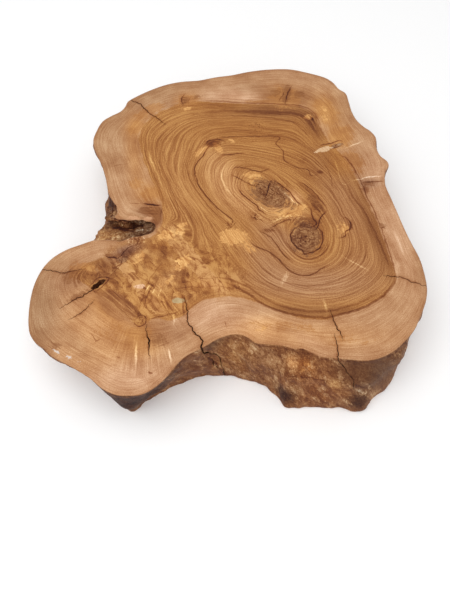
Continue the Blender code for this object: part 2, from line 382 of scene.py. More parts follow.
HEART_BORDER = (
    (-96, -34), (-93, -17), (-95, 0), (-99, 18), (-107, 36), (-114, 54), (-121, 73), (-128, 92), (-133, 111),
    (-136, 130), (-134, 147), (-129, 161), (-120, 173), (-108, 184), (-95, 191), (-84, 197), (-72, 203),
    (-58, 206), (-45, 206), (-27, 206), (-10, 204), (9, 203), (25, 202), (48, 201), (67, 200), (87, 198),
    (104, 196), (118, 191), (127, 184), (134, 173), (139, 155), (145, 137), (153, 121), (162, 107),
    (171, 91), (178, 73), (184, 55), (190, 36), (196, 14), (203, -12), (209, -34), (212, -54), (216, -78),
    (220, -99), (222, -112), (218, -122), (207, -136), (193, -148), (175, -158), (155, -166), (139, -171),
    (122, -176), (103, -176), (86, -173), (68, -167), (52, -160), (37, -152), (20, -146), (3, -143),
    (-18, -144), (-34, -148), (-46, -157), (-56, -167), (-68, -175), (-79, -177), (-92, -174), (-102, -177),
    (-117, -185), (-135, -170), (-155, -154), (-170, -142), (-184, -130), (-204, -112), (-194, -93),
    (-168, -80), (-147, -66), (-123, -56), (-104, -45),
)
BORDER_AGE, BARK_AGE, BURR_AGE = 62, 100, 50
BURR_MIDDLE = ((-120, -105), (-80, -100), (-45, -95), (-150, -110))
GROWTH_SLACK = 25.0
TINY = 1e-9
PLACES_AT_ONCE = 4000


def spline_height(gaps):
    """How a thin sheet bends at these squared distances from a push."""
    return 0.5 * gaps * np.log(np.maximum(gaps, TINY))


def squared_gaps(places, pins):
    """The squared distance from each place to each pin."""
    return ((places[:, None, :] - pins[None, :, :]) ** 2).sum(2)


def fit_sheet(pins, heights, slack):
    """The pushes that bend a thin sheet through heights at pins, not quite exactly."""
    count = len(pins)
    flat_part = np.hstack([np.ones((count, 1)), pins])
    system = np.zeros((count + 3, count + 3))
    system[:count, :count] = spline_height(squared_gaps(pins, pins)) + slack * np.eye(count)
    system[:count, count:] = flat_part
    system[count:, :count] = flat_part.T
    return pins, np.linalg.solve(system, np.concatenate([heights, np.zeros(3)]))


def sheet_heights(sheet, places):
    """The height of a fitted sheet at places on the face, in millimetres."""
    pins, pushes = sheet
    found = []
    for part in np.array_split(places, max(1, len(places) // PLACES_AT_ONCE)):
        bent = spline_height(squared_gaps(part, pins)) @ pushes[:-3]
        found.append(bent + pushes[-3] + part @ pushes[-2:])
    return np.concatenate(found)


print(len(GROWTH_LINES), "growth lines")

# %% Bend a sheet through the ages
growth_rows = [(point, age) for age, points in GROWTH_LINES.values() for point in points]
growth_rows += [(point, BORDER_AGE) for point in HEART_BORDER[::2]]
growth_rows += [(point, BURR_AGE) for point in BURR_MIDDLE]
growth_rows += [(row[:2], BARK_AGE) for row in (LOBE_LEFT + NOTCH + BROAD_PART)[::2]]
growth_pins = np.array([Vector(point) - OUTLINE_CENTRE for point, _ in growth_rows])
GROWTH = fit_sheet(growth_pins, np.array([age for _, age in growth_rows], float), GROWTH_SLACK)
pith = np.array([GROWTH_LINES["upper_pith"][1][0]], float)
print(len(growth_pins), "pins; age at the upper pith", sheet_heights(GROWTH, pith).round(1))

# %% [markdown]
# ## Figure
# Beside the rings, the face has lines of its own: dark lines of gum, a few bright rays,
# and the lines that border the heartwood. Each is drawn once here, at its place on the
# face, with its half width in millimetres and its strength. A strength of 1 is one coat
# of stain, which a dark line adds and a pale line takes away. They are read later at the
# points of the mesh, so the mesh is made finer along them.

# %% Lines drawn on the face
DARK_LINES = {
    "oval": (0.93, 2.6, (
        (-26, 120), (-33, 110), (-38, 98), (-43, 89), (-50, 76), (-50, 63), (-47, 50), (-44, 40), (-37, 28),
        (-29, 16), (-18, 2), (-5, -12), (5, -22), (0, -32),
    )),
    "beside_oval": (0.74, 1.0, (
        (-61, 88), (-62, 74), (-60, 62), (-54, 44), (-40, 20), (-24, -4), (-8, -22),
    )),
    "figure_top": (1.18, 2.6, ((-36, 113), (-32, 124), (-21, 128), (-9, 126), (-5, 119))),
    "figure_dash": (0.99, 2.4, ((-17, 96), (-11, 98), (2, 98), (17, 101), (26, 99))),
    "zigzag": (0.74, 2.2, (
        (-18, 131), (9, 134), (43, 134), (64, 135), (77, 131), (70, 120), (80, 106), (82, 87), (95, 76),
        (115, 69), (119, 59), (131, 61),
    )),
    "pith_top": (0.87, 2.2, ((3, 68), (10, 74), (25, 72), (42, 66), (55, 69), (60, 74))),
    "pith_thin_crack": (0.62, 3.0, ((0, 62), (13, 54), (33, 41), (44, 38))),
    "pith_crack": (0.87, 3.6, ((61, 52), (57, 39), (54, 27), (49, 14))),
    "lens_left": (1.12, 2.6, ((12, 39), (18, 25), (29, 14), (38, 5), (42, -2), (49, -8), (54, -14))),
    "lens_left_outer": (0.62, 1.2, ((2, 40), (8, 20), (20, 6), (30, -6), (38, -18))),
    "ridge_right": (1.05, 2.8, ((64, 51), (75, 41), (84, 32), (91, 20), (100, 7), (106, 1))),
    "lens_right": (0.93, 2.2, ((97, 50), (106, 44), (122, 28), (131, 12), (139, 0))),
    "purple_band": (3.4, 0.7, ((100, 48), (113, 34), (127, 18), (133, 0))),
    "lower_crack": (0.81, 3.4, ((139, -3), (134, -8), (126, -20), (123, -31), (120, -36), (113, -38))),
    "above_lower_pith": (1.24, 2.6, ((112, 4), (115, -3), (117, -17), (121, -28), (112, -33), (102, -30))),
    "lower_ring": (1.1, 2.8, (
        (119, -30), (124, -35), (128, -41), (128, -54), (123, -66), (116, -72), (102, -77), (98, -70),
        (91, -66), (86, -58), (84, -48), (88, -38), (95, -33),
    )),
    "lower_ring_outer": (0.68, 1.4, (
        (78, -50), (80, -62), (87, -74), (97, -83), (112, -84), (124, -78), (133, -66), (136, -52),
    )),
    "lower_chord": (0.81, 2.0, ((87, -52), (98, -51), (104, -48))),
    "below_bright": (0.99, 2.2, ((52, -36), (62, -31), (73, -24), (85, -20), (95, -22))),
    "loop": (0.99, 2.8, (
        (156, -20), (163, -17), (168, -24), (168, -34), (161, -39), (159, -47), (152, -51), (146, -49),
    )),
    "figure_patch_edge": (0.74, 1.6, ((-3, -36), (4, -32), (8, -25), (5, -20))),
    "below_inner": (0.93, 1.9, ((40, -34), (45, -41), (57, -50), (66, -65), (75, -80), (87, -91))),
    "below_middle": (1.05, 2.1, (
        (26, -56), (37, -65), (57, -76), (70, -91), (80, -103), (92, -110), (107, -110), (122, -101),
        (135, -92),
    )),
    "below_outer": (0.62, 1.0, (
        (36, -92), (54, -108), (72, -120), (96, -126), (126, -124), (150, -114), (172, -100),
    )),
    "gum_above_bright": (0.93, 1.8, ((30, -4), (37, -10), (36, -18), (44, -20), (50, -27))),
    "border_front": (2.0, 1.3, (
        (-11, -119), (7, -128), (25, -139), (42, -153), (62, -163), (82, -169), (105, -173), (126, -173),
        (147, -168), (171, -160), (190, -149), (206, -136), (217, -122), (221, -112),
    )),
    "border_front_inner": (1.8, 0.9, (
        (-24, -113), (0, -117), (25, -129), (51, -149), (77, -160), (112, -165), (141, -161), (172, -150),
        (203, -131),
    )),
    "border_right": (1.2, 1.5, (
        (160, 100), (173, 91), (182, 74), (192, 44), (196, 20), (202, 4), (206, -14), (211, -38), (215, -62),
        (219, -88), (221, -112),
    )),
    "border_right_inner": (1.6, 0.9, (
        (168, 50), (176, 20), (187, 0), (198, -31), (206, -61), (213, -91), (214, -108),
    )),
    "border_back": (3.6, 1.0, (
        (-45, 184), (-14, 186), (17, 186), (48, 184), (79, 182), (104, 180), (117, 172), (127, 155),
        (134, 135), (142, 119),
    )),
    "border_back_low": (0.93, 0.9, (
        (-66, 168), (-40, 173), (2, 176), (40, 174), (74, 170), (97, 163), (112, 147), (124, 126),
    )),
    "purple_back": (1.5, 1.1, (
        (-45, 208), (-22, 208), (9, 205), (30, 203), (51, 203), (87, 200), (111, 197), (127, 188),
        (135, 174), (141, 153),
    )),
    "purple_back_upper": (0.6, 1.0, ((-20, 214), (4, 212), (28, 209), (46, 212))),
    "purple_right": (4.2, 0.3, (
        (208, -22), (215, -44), (223, -70), (230, -92), (229, -112), (222, -124), (210, -136),
    )),
    "left_border": (0.9, 0.7, (
        (-128, 118), (-124, 98), (-117, 78), (-109, 57), (-101, 36), (-95, 18), (-93, 0),
    )),
    "left_inner": (0.62, 0.9, (
        (-112, 120), (-108, 96), (-100, 74), (-90, 50), (-80, 24), (-72, 0), (-66, -20),
    )),
    "left_inner_2": (0.56, 0.8, (
        (-96, 118), (-96, 94), (-88, 66), (-76, 38), (-62, 12), (-52, -12), (-40, -34),
    )),
    "notch_slit": (1.6, 4.6, ((-124, 8), (-115, 7), (-105, 5), (-96, 5))),
    "notch_slit_tail": (0.56, 1.6, ((-142, 8), (-132, 8), (-122, 8))),
    "block_upper": (0.6, 1.2, ((-127, 0), (-112, 1), (-98, 0))),
    "block_middle": (0.6, 1.0, ((-125, -5), (-110, -5), (-97, -6))),
    "block_lower": (0.6, 1.0, ((-122, -10), (-108, -10), (-97, -11))),
    "block_side": (0.8, 1.4, ((-95, 3), (-96, -8), (-98, -18))),
    "lobe_slit": (1.18, 3.4, ((-171, -79), (-163, -82), (-156, -82), (-150, -84))),
    "lobe_slit_gum": (1.05, 2.2, ((-151, -83), (-145, -89), (-149, -95), (-157, -100))),
    "back_gum_left": (1.2, 2.6, ((88, 199), (90, 214), (95, 229), (101, 243))),
    "back_gum_right": (0.7, 1.6, ((76, 203), (81, 213), (86, 224), (84, 236))),
    "back_flame_gum": (1.0, 2.0, ((-70, 197), (-74, 206), (-74, 214), (-68, 225))),
    "back_flame_side": (0.6, 1.4, ((-64, 200), (-63, 210), (-58, 218))),
    "chip_top": (0.8, 2.8, (
        (133, 113), (140, 118), (147, 119), (156, 121), (163, 125), (169, 125), (174, 121),
    )),
    "chip_under": (0.7, 2.2, ((149, 107), (156, 111), (163, 113), (173, 116))),
    "chip_across": (0.6, 2.0, ((153, 117), (157, 113), (160, 117), (166, 119))),
    "corner_gum": (0.7, 1.6, ((116, 182), (124, 176), (130, 166), (133, 152))),
    # painted shadow: a dark line just below the pale line on the right
    "painted_shadow_below_white_line": (1.36, 2.0, ((189, 46), (207, 47), (226, 49))),
    "right_knot": (0.99, 1.2, ((208, -30), (212, -34), (217, -31))),
    "left_faint": (0.5, 0.9, ((-181, 73), (-161, 79), (-142, 83))),
    "hole_rim": (0.9, 1.9, (
        (-186, -131), (-181, -122), (-173, -114), (-165, -113), (-160, -116), (-164, -123), (-172, -132),
        (-180, -137),
    )),
    "hole_tail": (0.8, 1.8, ((-161, -115), (-152, -102), (-142, -91), (-136, -84))),
    "lobe_gum": (1.0, 2.2, ((-170, -80), (-160, -83), (-151, -83), (-145, -77), (-139, -68), (-126, -61))),
    "burr_seam": (0.9, 0.8, (
        (-90, -90), (-96, -99), (-103, -110), (-109, -125), (-113, -143), (-116, -155), (-119, -170),
    )),
    "burr_seam_right": (0.7, 0.7, ((-92, -108), (-97, -122), (-101, -136), (-104, -150))),
    "lobe_check_a": (0.5, 1.2, ((-180, -194), (-173, -200), (-167, -207), (-162, -202))),
    "lobe_check_b": (0.5, 1.0, ((-172, -211), (-166, -205), (-161, -203))),
    "lobe_check_c": (0.7, 1.3, ((-142, -227), (-138, -229), (-134, -230))),
    "lobe_knot": (1.4, 2.0, ((-101, -248), (-97, -250), (-94, -250))),
    "front_check": (0.6, 1.6, ((-7, -178), (-5, -183), (-4, -189))),
    "crack_side": (1.6, 1.3, ((-61, -148), (-60, -160), (-58, -174))),
    "burr_knot": (0.87, 2.2, (
        (-122, -178), (-115, -170), (-108, -173), (-108, -182), (-115, -186), (-122, -182), (-122, -176),
    )),
    "burr_knot_inner": (0.5, 1.3, ((-117, -178), (-114, -174), (-111, -178), (-114, -181), (-117, -178))),
    "amber_left": (0.62, 1.4, ((137, 88), (147, 60), (149, 32))),
    "amber_right": (0.62, 1.2, ((179, 88), (186, 54))),
    "burr_edge_a": (0.8, 0.8, ((-168, -137), (-152, -150), (-136, -166), (-124, -178))),
    "burr_edge_b": (0.74, 0.8, ((-160, -128), (-146, -142), (-132, -158), (-123, -170))),
    "burr_steep": (0.93, 1.7, ((-99, -121), (-105, -133), (-109, -148), (-112, -162))),
    "burr_front": (0.93, 1.4, ((-107, -177), (-90, -172), (-70, -167), (-62, -160))),
    "burr_level": (0.8, 0.7, ((-79, -133), (-59, -129), (-39, -128), (-13, -127), (8, -134))),
    "burr_triangle": (1.1, 0.6, ((-56, -74), (-46, -84), (-33, -92), (-20, -86), (-10, -76))),
}
PALE_LINES = {
    "ridge_right": (1.0, 1.1, ((63, 44), (74, 32), (84, 20), (92, 11), (104, 0))),
    "ridge_left": (1.0, 1.2, ((32, 16), (46, 1), (58, -10))),
    "inner_arc": (1.8, 0.8, ((-6, 80), (-12, 62), (-8, 44), (0, 28), (10, 14))),
    "bright_ridge": (0.9, 0.9, ((51, -31), (59, -26), (71, -18), (82, -15), (95, -15))),
    "front_ray": (1.9, 1.0, ((121, -142), (124, -158), (126, -172))),
    "middle_ray": (3.4, 0.85, ((79, -102), (73, -116), (67, -128))),
    "right_ray": (1.3, 1.0, ((150, -78), (172, -94), (190, -106))),
    "chip_ray": (1.0, 1.1, ((172, 110), (178, 113), (194, 121), (206, 127))),
    "right_line": (0.85, 1.5, ((172, 49), (187, 51), (205, 56), (228, 58))),
    "amber_ray": (0.7, 1.0, ((155, 92), (159, 69), (164, 43), (178, 47))),
    "left_gold": (1.65, 0.9, ((-122, 110), (-116, 90), (-108, 70), (-100, 48), (-93, 28))),
    "burr_stripe": (1.65, 1.0, ((-72, -156), (-72, -171), (-71, -188))),
    "lobe_stripe_a": (1.3, 1.3, ((-78, -212), (-75, -225), (-72, -239))),
    "lobe_stripe_b": (1.8, 1.3, ((-118, -205), (-117, -222), (-115, -248))),
    "burr_shard_a": (1.0, 1.3, ((-111, -136), (-103, -122))),
    "burr_shard_b": (1.0, 1.3, ((-104, -142), (-97, -127))),
    "burr_shard_c": (0.9, 1.1, ((-95, -148), (-89, -128))),
    "outside_right": (2.25, 0.6, ((224, -30), (232, -60), (238, -90))),
    "burr_edge": (1.0, 0.6, ((-164, -132), (-149, -146), (-134, -162))),
    "tail_of_hole": (1.65, 0.9, ((-163, -113), (-150, -100), (-140, -88))),
}
print(len(DARK_LINES), "dark lines and", len(PALE_LINES), "pale ones")

# %% [markdown]
# ## The mesh of the face
# A flat face needs no points at all for its shape, but the age and the figure are kept
# at points, so it gets a fine net: rows of points along each drawn line, a net over the
# rest, and the wall's own top ring round it. A Delaunay triangulation joins them.

# %% Spread points over the face and join them
LINE_STEP = 1.8
LINE_SIDES = (0.0, 1.2, -1.2, 2.8, -2.8)
LINE_WOBBLE, LINE_WOBBLE_SIZE = 1.1, 7.0
FACE_SPACING = 2.7
LEAST_GAP = 0.8
UNDERSIDE_SPACING = 6.0
EDGE_GAP, EDGE_GAP_SHARE, COVER_GAP_SHARE = 1.6, 0.5, 0.6
NET_ROW_SHARE = 0.866
KEEP_INSIDE, JOIN_WITHIN = 1, 1e-6


def smooth_line(points, step):
    """Evenly spaced places along a smooth open curve through the points."""
    path = [Vector(point) - OUTLINE_CENTRE for point in points]
    path = [path[0] * 2 - path[1], *path, path[-1] * 2 - path[-2]]
    places = []
    for before, start, end, after in zip(path, path[1:], path[2:], path[3:]):
        leave = (end - before) / (2.0 * HANDLE_PARTS)
        arrive = (after - start) / (2.0 * HANDLE_PARTS)
        count = max(2, round((end - start).length / step) + 1)
        handles = (start, start + leave, end - arrive, end)
        curve = geometry.interpolate_bezier(*(handle.to_3d() for handle in handles), count)
        places.extend(point.to_2d() for point in curve[:-1])
    return [*places, path[-2]]


def across(path, index):
    """The direction to the left of a path at one of its points."""
    along = path[min(index + 1, len(path) - 1)] - path[max(index - 1, 0)]
    return Vector((-along.y, along.x)).normalized()


def drawn_line(points, step):
    """A smooth line with a slight wobble, as growth draws it."""
    path = smooth_line(points, step)
    wobbly = []
    for index, place in enumerate(path):
        shift = noise.noise(place.to_3d() / LINE_WOBBLE_SIZE) * LINE_WOBBLE
        wobbly.append(place + across(path, index) * shift)
    return wobbly


def inside(places, outline):
    """Whether each place is inside a closed outline, by counting the sides to its right."""
    x, y = places[:, 0:1], places[:, 1:2]
    start_x, start_y = np.array(outline).T
    end_x, end_y = np.roll(start_x, -1), np.roll(start_y, -1)
    rise = np.where(end_y == start_y, TINY, end_y - start_y)
    level = (start_y > y) != (end_y > y)
    to_the_right = x < start_x + (y - start_y) * (end_x - start_x) / rise
    return (level & to_the_right).sum(1) % 2 == 1


def in_space(place):
    """A place of two or three numbers as one of three."""
    return (*place, 0.0)[:3]


def nearest(places, targets):
    """For each place, the distance to the nearest target and which one it is."""
    finder = kdtree.KDTree(len(targets))
    for index, target in enumerate(targets):
        finder.insert(in_space(target), index)
    finder.balance()
    found = [finder.find(in_space(place)) for place in places]
    return np.array([row[2] for row in found]), np.array([row[1] for row in found])


def net(spacing, low, high):
    """Places of a triangular net over a box."""
    rows = int((high[1] - low[1]) / (spacing * NET_ROW_SHARE))
    columns = int((high[0] - low[0]) / spacing)
    row, column = np.mgrid[0:rows, 0:columns]
    x = low[0] + (column + 0.5 * (row % 2)) * spacing
    y = low[1] + row * spacing * NET_ROW_SHARE
    return np.column_stack([x.ravel(), y.ravel()])


def thin_out(places, gap):
    """Leaves one place in each small square, and keeps the first."""
    cells = np.floor(places / gap).astype(int)
    _, first = np.unique(cells, axis=0, return_index=True)
    return places[np.sort(first)]


def beside_lines():
    """Rows of places along every drawn line and on both sides of it."""
    places = []
    for lines in (DARK_LINES, PALE_LINES):
        for _, _, points in lines.values():
            path = drawn_line(points, LINE_STEP)
            for index, point in enumerate(path):
                places.extend(point + across(path, index) * side for side in LINE_SIDES)
    return np.array(places)


def fill(ring, spacing, extra):
    """Triangles inside a ring of points, with a net and the extra places in it."""
    edge = np.array([point[:2] for point in ring])
    low, high = edge.min(0), edge.max(0)
    kept = extra
    cover = net(spacing, low, high)
    if len(extra):
        kept = thin_out(extra, LEAST_GAP)
        cover = cover[nearest(cover, kept)[0] > COVER_GAP_SHARE * spacing]
    places = np.vstack([kept, cover]) if len(kept) else cover
    places = places[inside(places, edge)]
    places = places[nearest(places, edge)[0] > min(EDGE_GAP, EDGE_GAP_SHARE * spacing)]
    count = len(edge)
    points = [Vector(place) for place in np.vstack([edge, places])]
    sides = [(index, (index + 1) % count) for index in range(count)]
    result = geometry.delaunay_2d_cdt(points, sides, [], KEEP_INSIDE, JOIN_WITHIN)
    source = [origins[0] for origins in result[3]]
    corners = [[source[vertex] for vertex in face] for face in result[2]]
    return places, corners


top_places, top_corners = fill(wall[0], FACE_SPACING, beside_lines())
foot_places, foot_corners = fill(wall[-1], UNDERSIDE_SPACING, np.empty((0, 2)))
print(len(top_places), "points inside the face,", len(foot_places), "under the foot")

# %% [markdown]
# ## One closed slab
# The face, the wall and the underside are joined at shared points, so the slab is one
# closed skin with no seam. Each region also gets its own place on a flat map, with the
# most room for the face, for anyone who wants to paint or bake the slab.

# %% Join face, wall and underside
FACE, WALL, UNDERSIDE = range(3)


def renumbered(corners, ring_start, inner_start):
    """The slab's own numbers for corners on a ring and inside it."""
    numbers = []
    for corner in corners:
        numbers.append(corner + ring_start if corner < STATIONS else corner - STATIONS + inner_start)
    return numbers


def join_slab():
    """Points, faces and the region of each face."""
    points = [point for ring in wall for point in ring]
    top_start = len(points)
    points.extend((x, y, THICKNESS) for x, y in top_places)
    foot_start = len(points)
    points.extend((x, y, 0.0) for x, y in foot_places)
    last_ring = (len(LEVELS) - 1) * STATIONS
    faces = [renumbered(corners, 0, top_start) for corners in top_corners]
    regions = [FACE] * len(faces)
    for level in range(len(LEVELS) - 1):
        upper, lower = level * STATIONS, (level + 1) * STATIONS
        for station in range(STATIONS):
            following = (station + 1) % STATIONS
            faces.append([upper + following, upper + station, lower + station, lower + following])
    regions += [WALL] * (len(faces) - len(regions))
    faces += [renumbered(reversed(corners), last_ring, foot_start) for corners in foot_corners]
    regions += [UNDERSIDE] * (len(faces) - len(regions))
    return points, faces, regions


slab_points, slab_faces, slab_regions = join_slab()
slab_mesh = bpy.data.meshes.new("olive_wood")
slab_mesh.from_pydata([(x * MM, y * MM, z * MM) for x, y, z in slab_points], [], slab_faces)
slab = add_object("olive_wood", slab_mesh)
print(len(slab_points), "points and", len(slab_faces), "faces in the slab")

# %% Give every face its place on the flat map
MAP_NAME = "OFBake"
MAP_MARGIN = 0.005
MAP_WIDTH = 1 - 2 * MAP_MARGIN
FACE_SCALE = 1.40
UNDERSIDE_LEFT, UNDERSIDE_SCALE = 0.752, (0.46, 1.38)
WALL_ROWS = ((0.801, 0.885), (0.889, 0.973))
CUT_ROW = (0.978, 0.997)
HALF_WAY = math.ceil(STATIONS / 2)
low_corner = np.min(slab_points, axis=0)


def wall_place(corner, row, wraps):
    """The place on the map of a point of the wall, which lies in two rows."""
    level, station = divmod(corner, STATIONS)
    if wraps and station == 0:
        station = STATIONS
    low, high = WALL_ROWS[row]
    along = (station - row * HALF_WAY) / (HALF_WAY + 1)
    return MAP_MARGIN + MAP_WIDTH * along, high + (low - high) * LEVELS[level] / THICKNESS


def flat_place(corner, left, scale):
    """The place on the map of a point of the face or the underside."""
    x, y, _ = slab_points[corner]
    across_map = left + (x - low_corner[0]) * MM * scale[0]
    return across_map, MAP_MARGIN + (y - low_corner[1]) * MM * scale[1]


map_places = []
for face, region in zip(slab_faces, slab_regions):
    if region == WALL:
        stations = [corner % STATIONS for corner in face]
        wraps = max(stations) - min(stations) > 1
        row = 0 if min(stations) < HALF_WAY and not wraps else 1
        map_places.extend(wall_place(corner, row, wraps) for corner in face)
    elif region == FACE:
        map_places.extend(flat_place(corner, MAP_MARGIN, (FACE_SCALE, FACE_SCALE)) for corner in face)
    else:
        map_places.extend(flat_place(corner, UNDERSIDE_LEFT, UNDERSIDE_SCALE) for corner in face)
slab_mesh.uv_layers.new(name=MAP_NAME).uv.foreach_set("vector", np.array(map_places).ravel())
map_low, map_high = np.min(map_places, axis=0), np.max(map_places, axis=0)
print("the map runs from", map_low.round(3), "to", map_high.round(3))

# %% [markdown]
# ## Drying cracks
# The round has split in places as it dried, most of all where it is narrowest. A crack
# is a wedge of air, wide at the face and thin at its end, with jagged sides. Each wedge
# is made along its path and cut out of the slab, which leaves true walls inside it. The
# paths are drawn by hand: each place has the crack's width and depth there. Where the
# crack comes out through the live edge, it wanders sideways on its way down, so each
# crack also has its shift to the right at a few depths, and the first is where it starts.

# %% Where the cracks run
STRAIGHT_DOWN = ((0, 0), (100, 0))
CRACKS = {
    "front_hollow": (((0, 0), (20, 4), (32, 10), (40, 17), (50, 21), (73, 26), (106, 31)), (
        (-60, -143, 0.39, 4), (-57, -153, 0.7, 9), (-55, -163, 1.01, 14), (-54, -180, 1.01, 26),
        (-49, -188, 1.25, 36), (-45, -197, 1.56, 48), (-38, -201, 1.4, 62), (-35, -207, 1.79, 80),
        (-36, -215, 1.95, 106), (-33, -238, 2.11, 106),
    )),
    "hollow_branch": (((46, 8), (68, 16), (93, 21), (106, 23)), (
        (-32, -202, 0.39, 98), (-33, -222, 1.17, 98),
    )),
    "lobe_middle": (STRAIGHT_DOWN, (
        (-106, -182, 0.35, 4), (-106, -193, 0.7, 8), (-104, -201, 1.3, 14), (-102, -207, 2.2, 18),
        (-102, -219, 0.9, 12), (-99, -231, 0.35, 4),
    )),
    "from_knot_hole": (STRAIGHT_DOWN, (
        (-174, -128, 1.4, 12), (-188, -139, 1.25, 12), (-202, -148, 0.94, 9), (-220, -161, 0.35, 3),
    )),
    "below_knot_hole": (STRAIGHT_DOWN, (
        (-176, -148, 0.35, 4), (-190, -166, 0.86, 8), (-207, -177, 0.35, 4),
    )),
    "lobe_left": (STRAIGHT_DOWN, (
        (-251, -101, 0.86, 9), (-234, -104, 0.86, 8), (-222, -107, 0.7, 6), (-194, -100, 0.35, 3),
    )),
    "upper_left": (STRAIGHT_DOWN, (
        (-163, 215, 0.7, 9), (-154, 210, 0.94, 12), (-139, 201, 0.94, 12), (-131, 191, 1.33, 12),
        (-124, 182, 0.78, 10), (-109, 170, 0.78, 8), (-96, 157, 0.35, 3),
    )),
    "right": (STRAIGHT_DOWN, (
        (204, -111, 0.35, 3), (212, -112, 0.94, 8), (226, -113, 0.7, 8), (238, -119, 0.86, 8),
        (251, -124, 0.7, 7), (262, -129, 0.55, 7),
    )),
    "front_right_inner": (STRAIGHT_DOWN, (
        (129, -162, 0.35, 4), (133, -178, 0.86, 10), (136, -187, 1.4, 14), (140, -195, 1.17, 12),
        (142, -206, 0.35, 4),
    )),
    "front_right_outer": (((0, 0), (12, 5), (18, 11), (27, 18), (36, 21), (60, 25), (80, 27)), (
        (132, -196, 0.35, 4), (133, -208, 0.86, 14), (135, -219, 0.94, 24), (133, -228, 1.17, 40),
        (136, -252, 1.48, 66),
    )),
    "right_wall": (((38, 0), (70, 16), (80, 19)), ((176, -232, 0.35, 76), (178, -262, 0.94, 76))),
}
KNOT_HOLE = (
    (-185, -132), (-181, -125), (-176, -122), (-173, -117), (-167, -115), (-162, -116), (-164, -120),
    (-166, -124), (-171, -127), (-173, -131), (-180, -134),
)
KNOT_HOLE_STEPS = ((3.0, 0.92), (-2.0, 0.8), (-5.5, 0.62), (-9.0, 0.3))
# How strongly the crack tone, a painted shade, covers the inside of a crack and of the knot hole
CRACK_DARKNESS, KNOT_HOLE_DARKNESS = 1.0, 0.75
print(len(CRACKS), "cracks and one knot hole")

# %% Cut them out
CRACK_BOTTOM_SHARE = 0.3
CRACK_LEVELS = (0.0, 0.12, 0.25, 0.38, 0.5, 0.62, 0.75, 0.88, 1.0)
CUTTER_ABOVE = 3.0
CRACK_STEP = 1.9
CRACK_JITTER, CRACK_JITTER_SIZE = 2.4, 3.6
DEEP_JITTER, DEEP_JITTER_SIZE, DEEP_SQUEEZE, DEEP_JITTER_START = 3.2, 7.0, 2, 12.0
CELL_SHARE = 0.9


def along_crack(stations):
    """Closely spaced stations along a crack, with jagged offsets to its side."""
    fine = []
    for start, end in zip(stations, stations[1:]):
        steps = max(1, round(math.dist(start[:2], end[:2]) / CRACK_STEP))
        for step in range(steps):
            fine.append([a + (b - a) * step / steps for a, b in zip(start, end)])
    fine.append(list(stations[-1]))
    for index, row in enumerate(fine[1:-1], 1):
        before, after = Vector(fine[index - 1][:2]), Vector(fine[index + 1][:2])
        side = Vector((before.y - after.y, after.x - before.x)).normalized()
        shift = noise.noise(Vector((row[0], row[1], 0.0)) / CRACK_JITTER_SIZE) * CRACK_JITTER
        row[0] += side.x * shift
        row[1] += side.y * shift
    return fine


def cut_rings(wander, stations):
    """The sections of a crack's wedge, in metres. wander gives its shift to the right by depth."""
    fine = along_crack(stations)
    path = [Vector(row[:2]) - OUTLINE_CENTRE for row in fine]
    depths, shifts = zip(*wander)
    rings = []
    for index, (_, _, width, depth) in enumerate(fine):
        side = across(path, index)
        left, right = [], []
        for share in CRACK_LEVELS:
            below = depths[0] + (depth - depths[0]) * share
            deep_way = Vector((path[index].x, path[index].y, below * DEEP_SQUEEZE))
            jagged = noise.noise(deep_way / DEEP_JITTER_SIZE) * DEEP_JITTER
            shift = np.interp(below, depths, shifts) + jagged * min(below / DEEP_JITTER_START, 1.0)
            middle = path[index] + Vector((shift, 0.0))
            half_width = side * width * (1.0 - (1.0 - CRACK_BOTTOM_SHARE) * share) / 2.0
            height = CUTTER_ABOVE if below == 0.0 else -below
            left.append((middle + half_width, height))
            right.append((middle - half_width, height))
        ring = [*left, *reversed(right)]
        rings.append([Vector((place.x, place.y, THICKNESS + height)) * MM for place, height in ring])
    return rings


def hole_rings():
    """The tapering sections of the knot hole, in metres."""
    outline = [Vector(point) - OUTLINE_CENTRE for point in KNOT_HOLE]
    middle = sum(outline, Vector((0.0, 0.0))) / len(outline)
    return [
        [Vector((*middle.lerp(point, share), THICKNESS + level)) * MM for point in outline]
        for level, share in KNOT_HOLE_STEPS
    ]


def make_cutter(name, rings, cell, darkness):
    """A closed loft through the rings, which keeps to its own cell of the flat map."""
    count = len(rings[0])
    points = [point for ring in rings for point in ring]
    faces = []
    for start in range(0, len(points) - count, count):
        onward = start + count
        for index in range(count):
            following = (index + 1) % count
            faces.append((start + index, start + following, onward + following, onward + index))
    faces.append(tuple(reversed(range(count))))
    faces.append(tuple(range(len(points) - count, len(points))))
    mesh = bpy.data.meshes.new(name)
    mesh.from_pydata(points, [], faces)
    left, width = cell
    low, high = CUT_ROW
    flat = [
        (left + width * (corner // count) / len(rings), low + (high - low) * (corner % count) / count)
        for face in faces
        for corner in face
    ]
    mesh.uv_layers.new(name=MAP_NAME).uv.foreach_set("vector", np.array(flat).ravel())
    mark = mesh.attributes.new("cut", "FLOAT", "FACE")
    mark.data.foreach_set("value", np.full(len(faces), darkness))
    mesh.update()
    return mesh


def signed_volume(mesh):
    """Above zero where the faces point out."""
    total = 0.0
    for face in mesh.polygons:
        corners = [mesh.vertices[index].co for index in face.vertices]
        for second, third in zip(corners[1:], corners[2:]):
            total += corners[0].dot(second.cross(third))
    return total


cutters = bpy.data.collections.new("cutters")
bpy.context.scene.collection.children.link(cutters)
shapes = {name: cut_rings(wander, stations) for name, (wander, stations) in CRACKS.items()}
shapes["knot_hole"] = hole_rings()
for index, (name, rings) in enumerate(shapes.items()):
    cell_width = MAP_WIDTH / len(shapes)
    cell = (MAP_MARGIN + index * cell_width, CELL_SHARE * cell_width)
    darkness = KNOT_HOLE_DARKNESS if name == "knot_hole" else CRACK_DARKNESS
    cutter_mesh = make_cutter(name, rings, cell, darkness)
    if signed_volume(cutter_mesh) < 0:
        cutter_mesh.flip_normals()
    cutters.objects.link(bpy.data.objects.new(name, cutter_mesh))

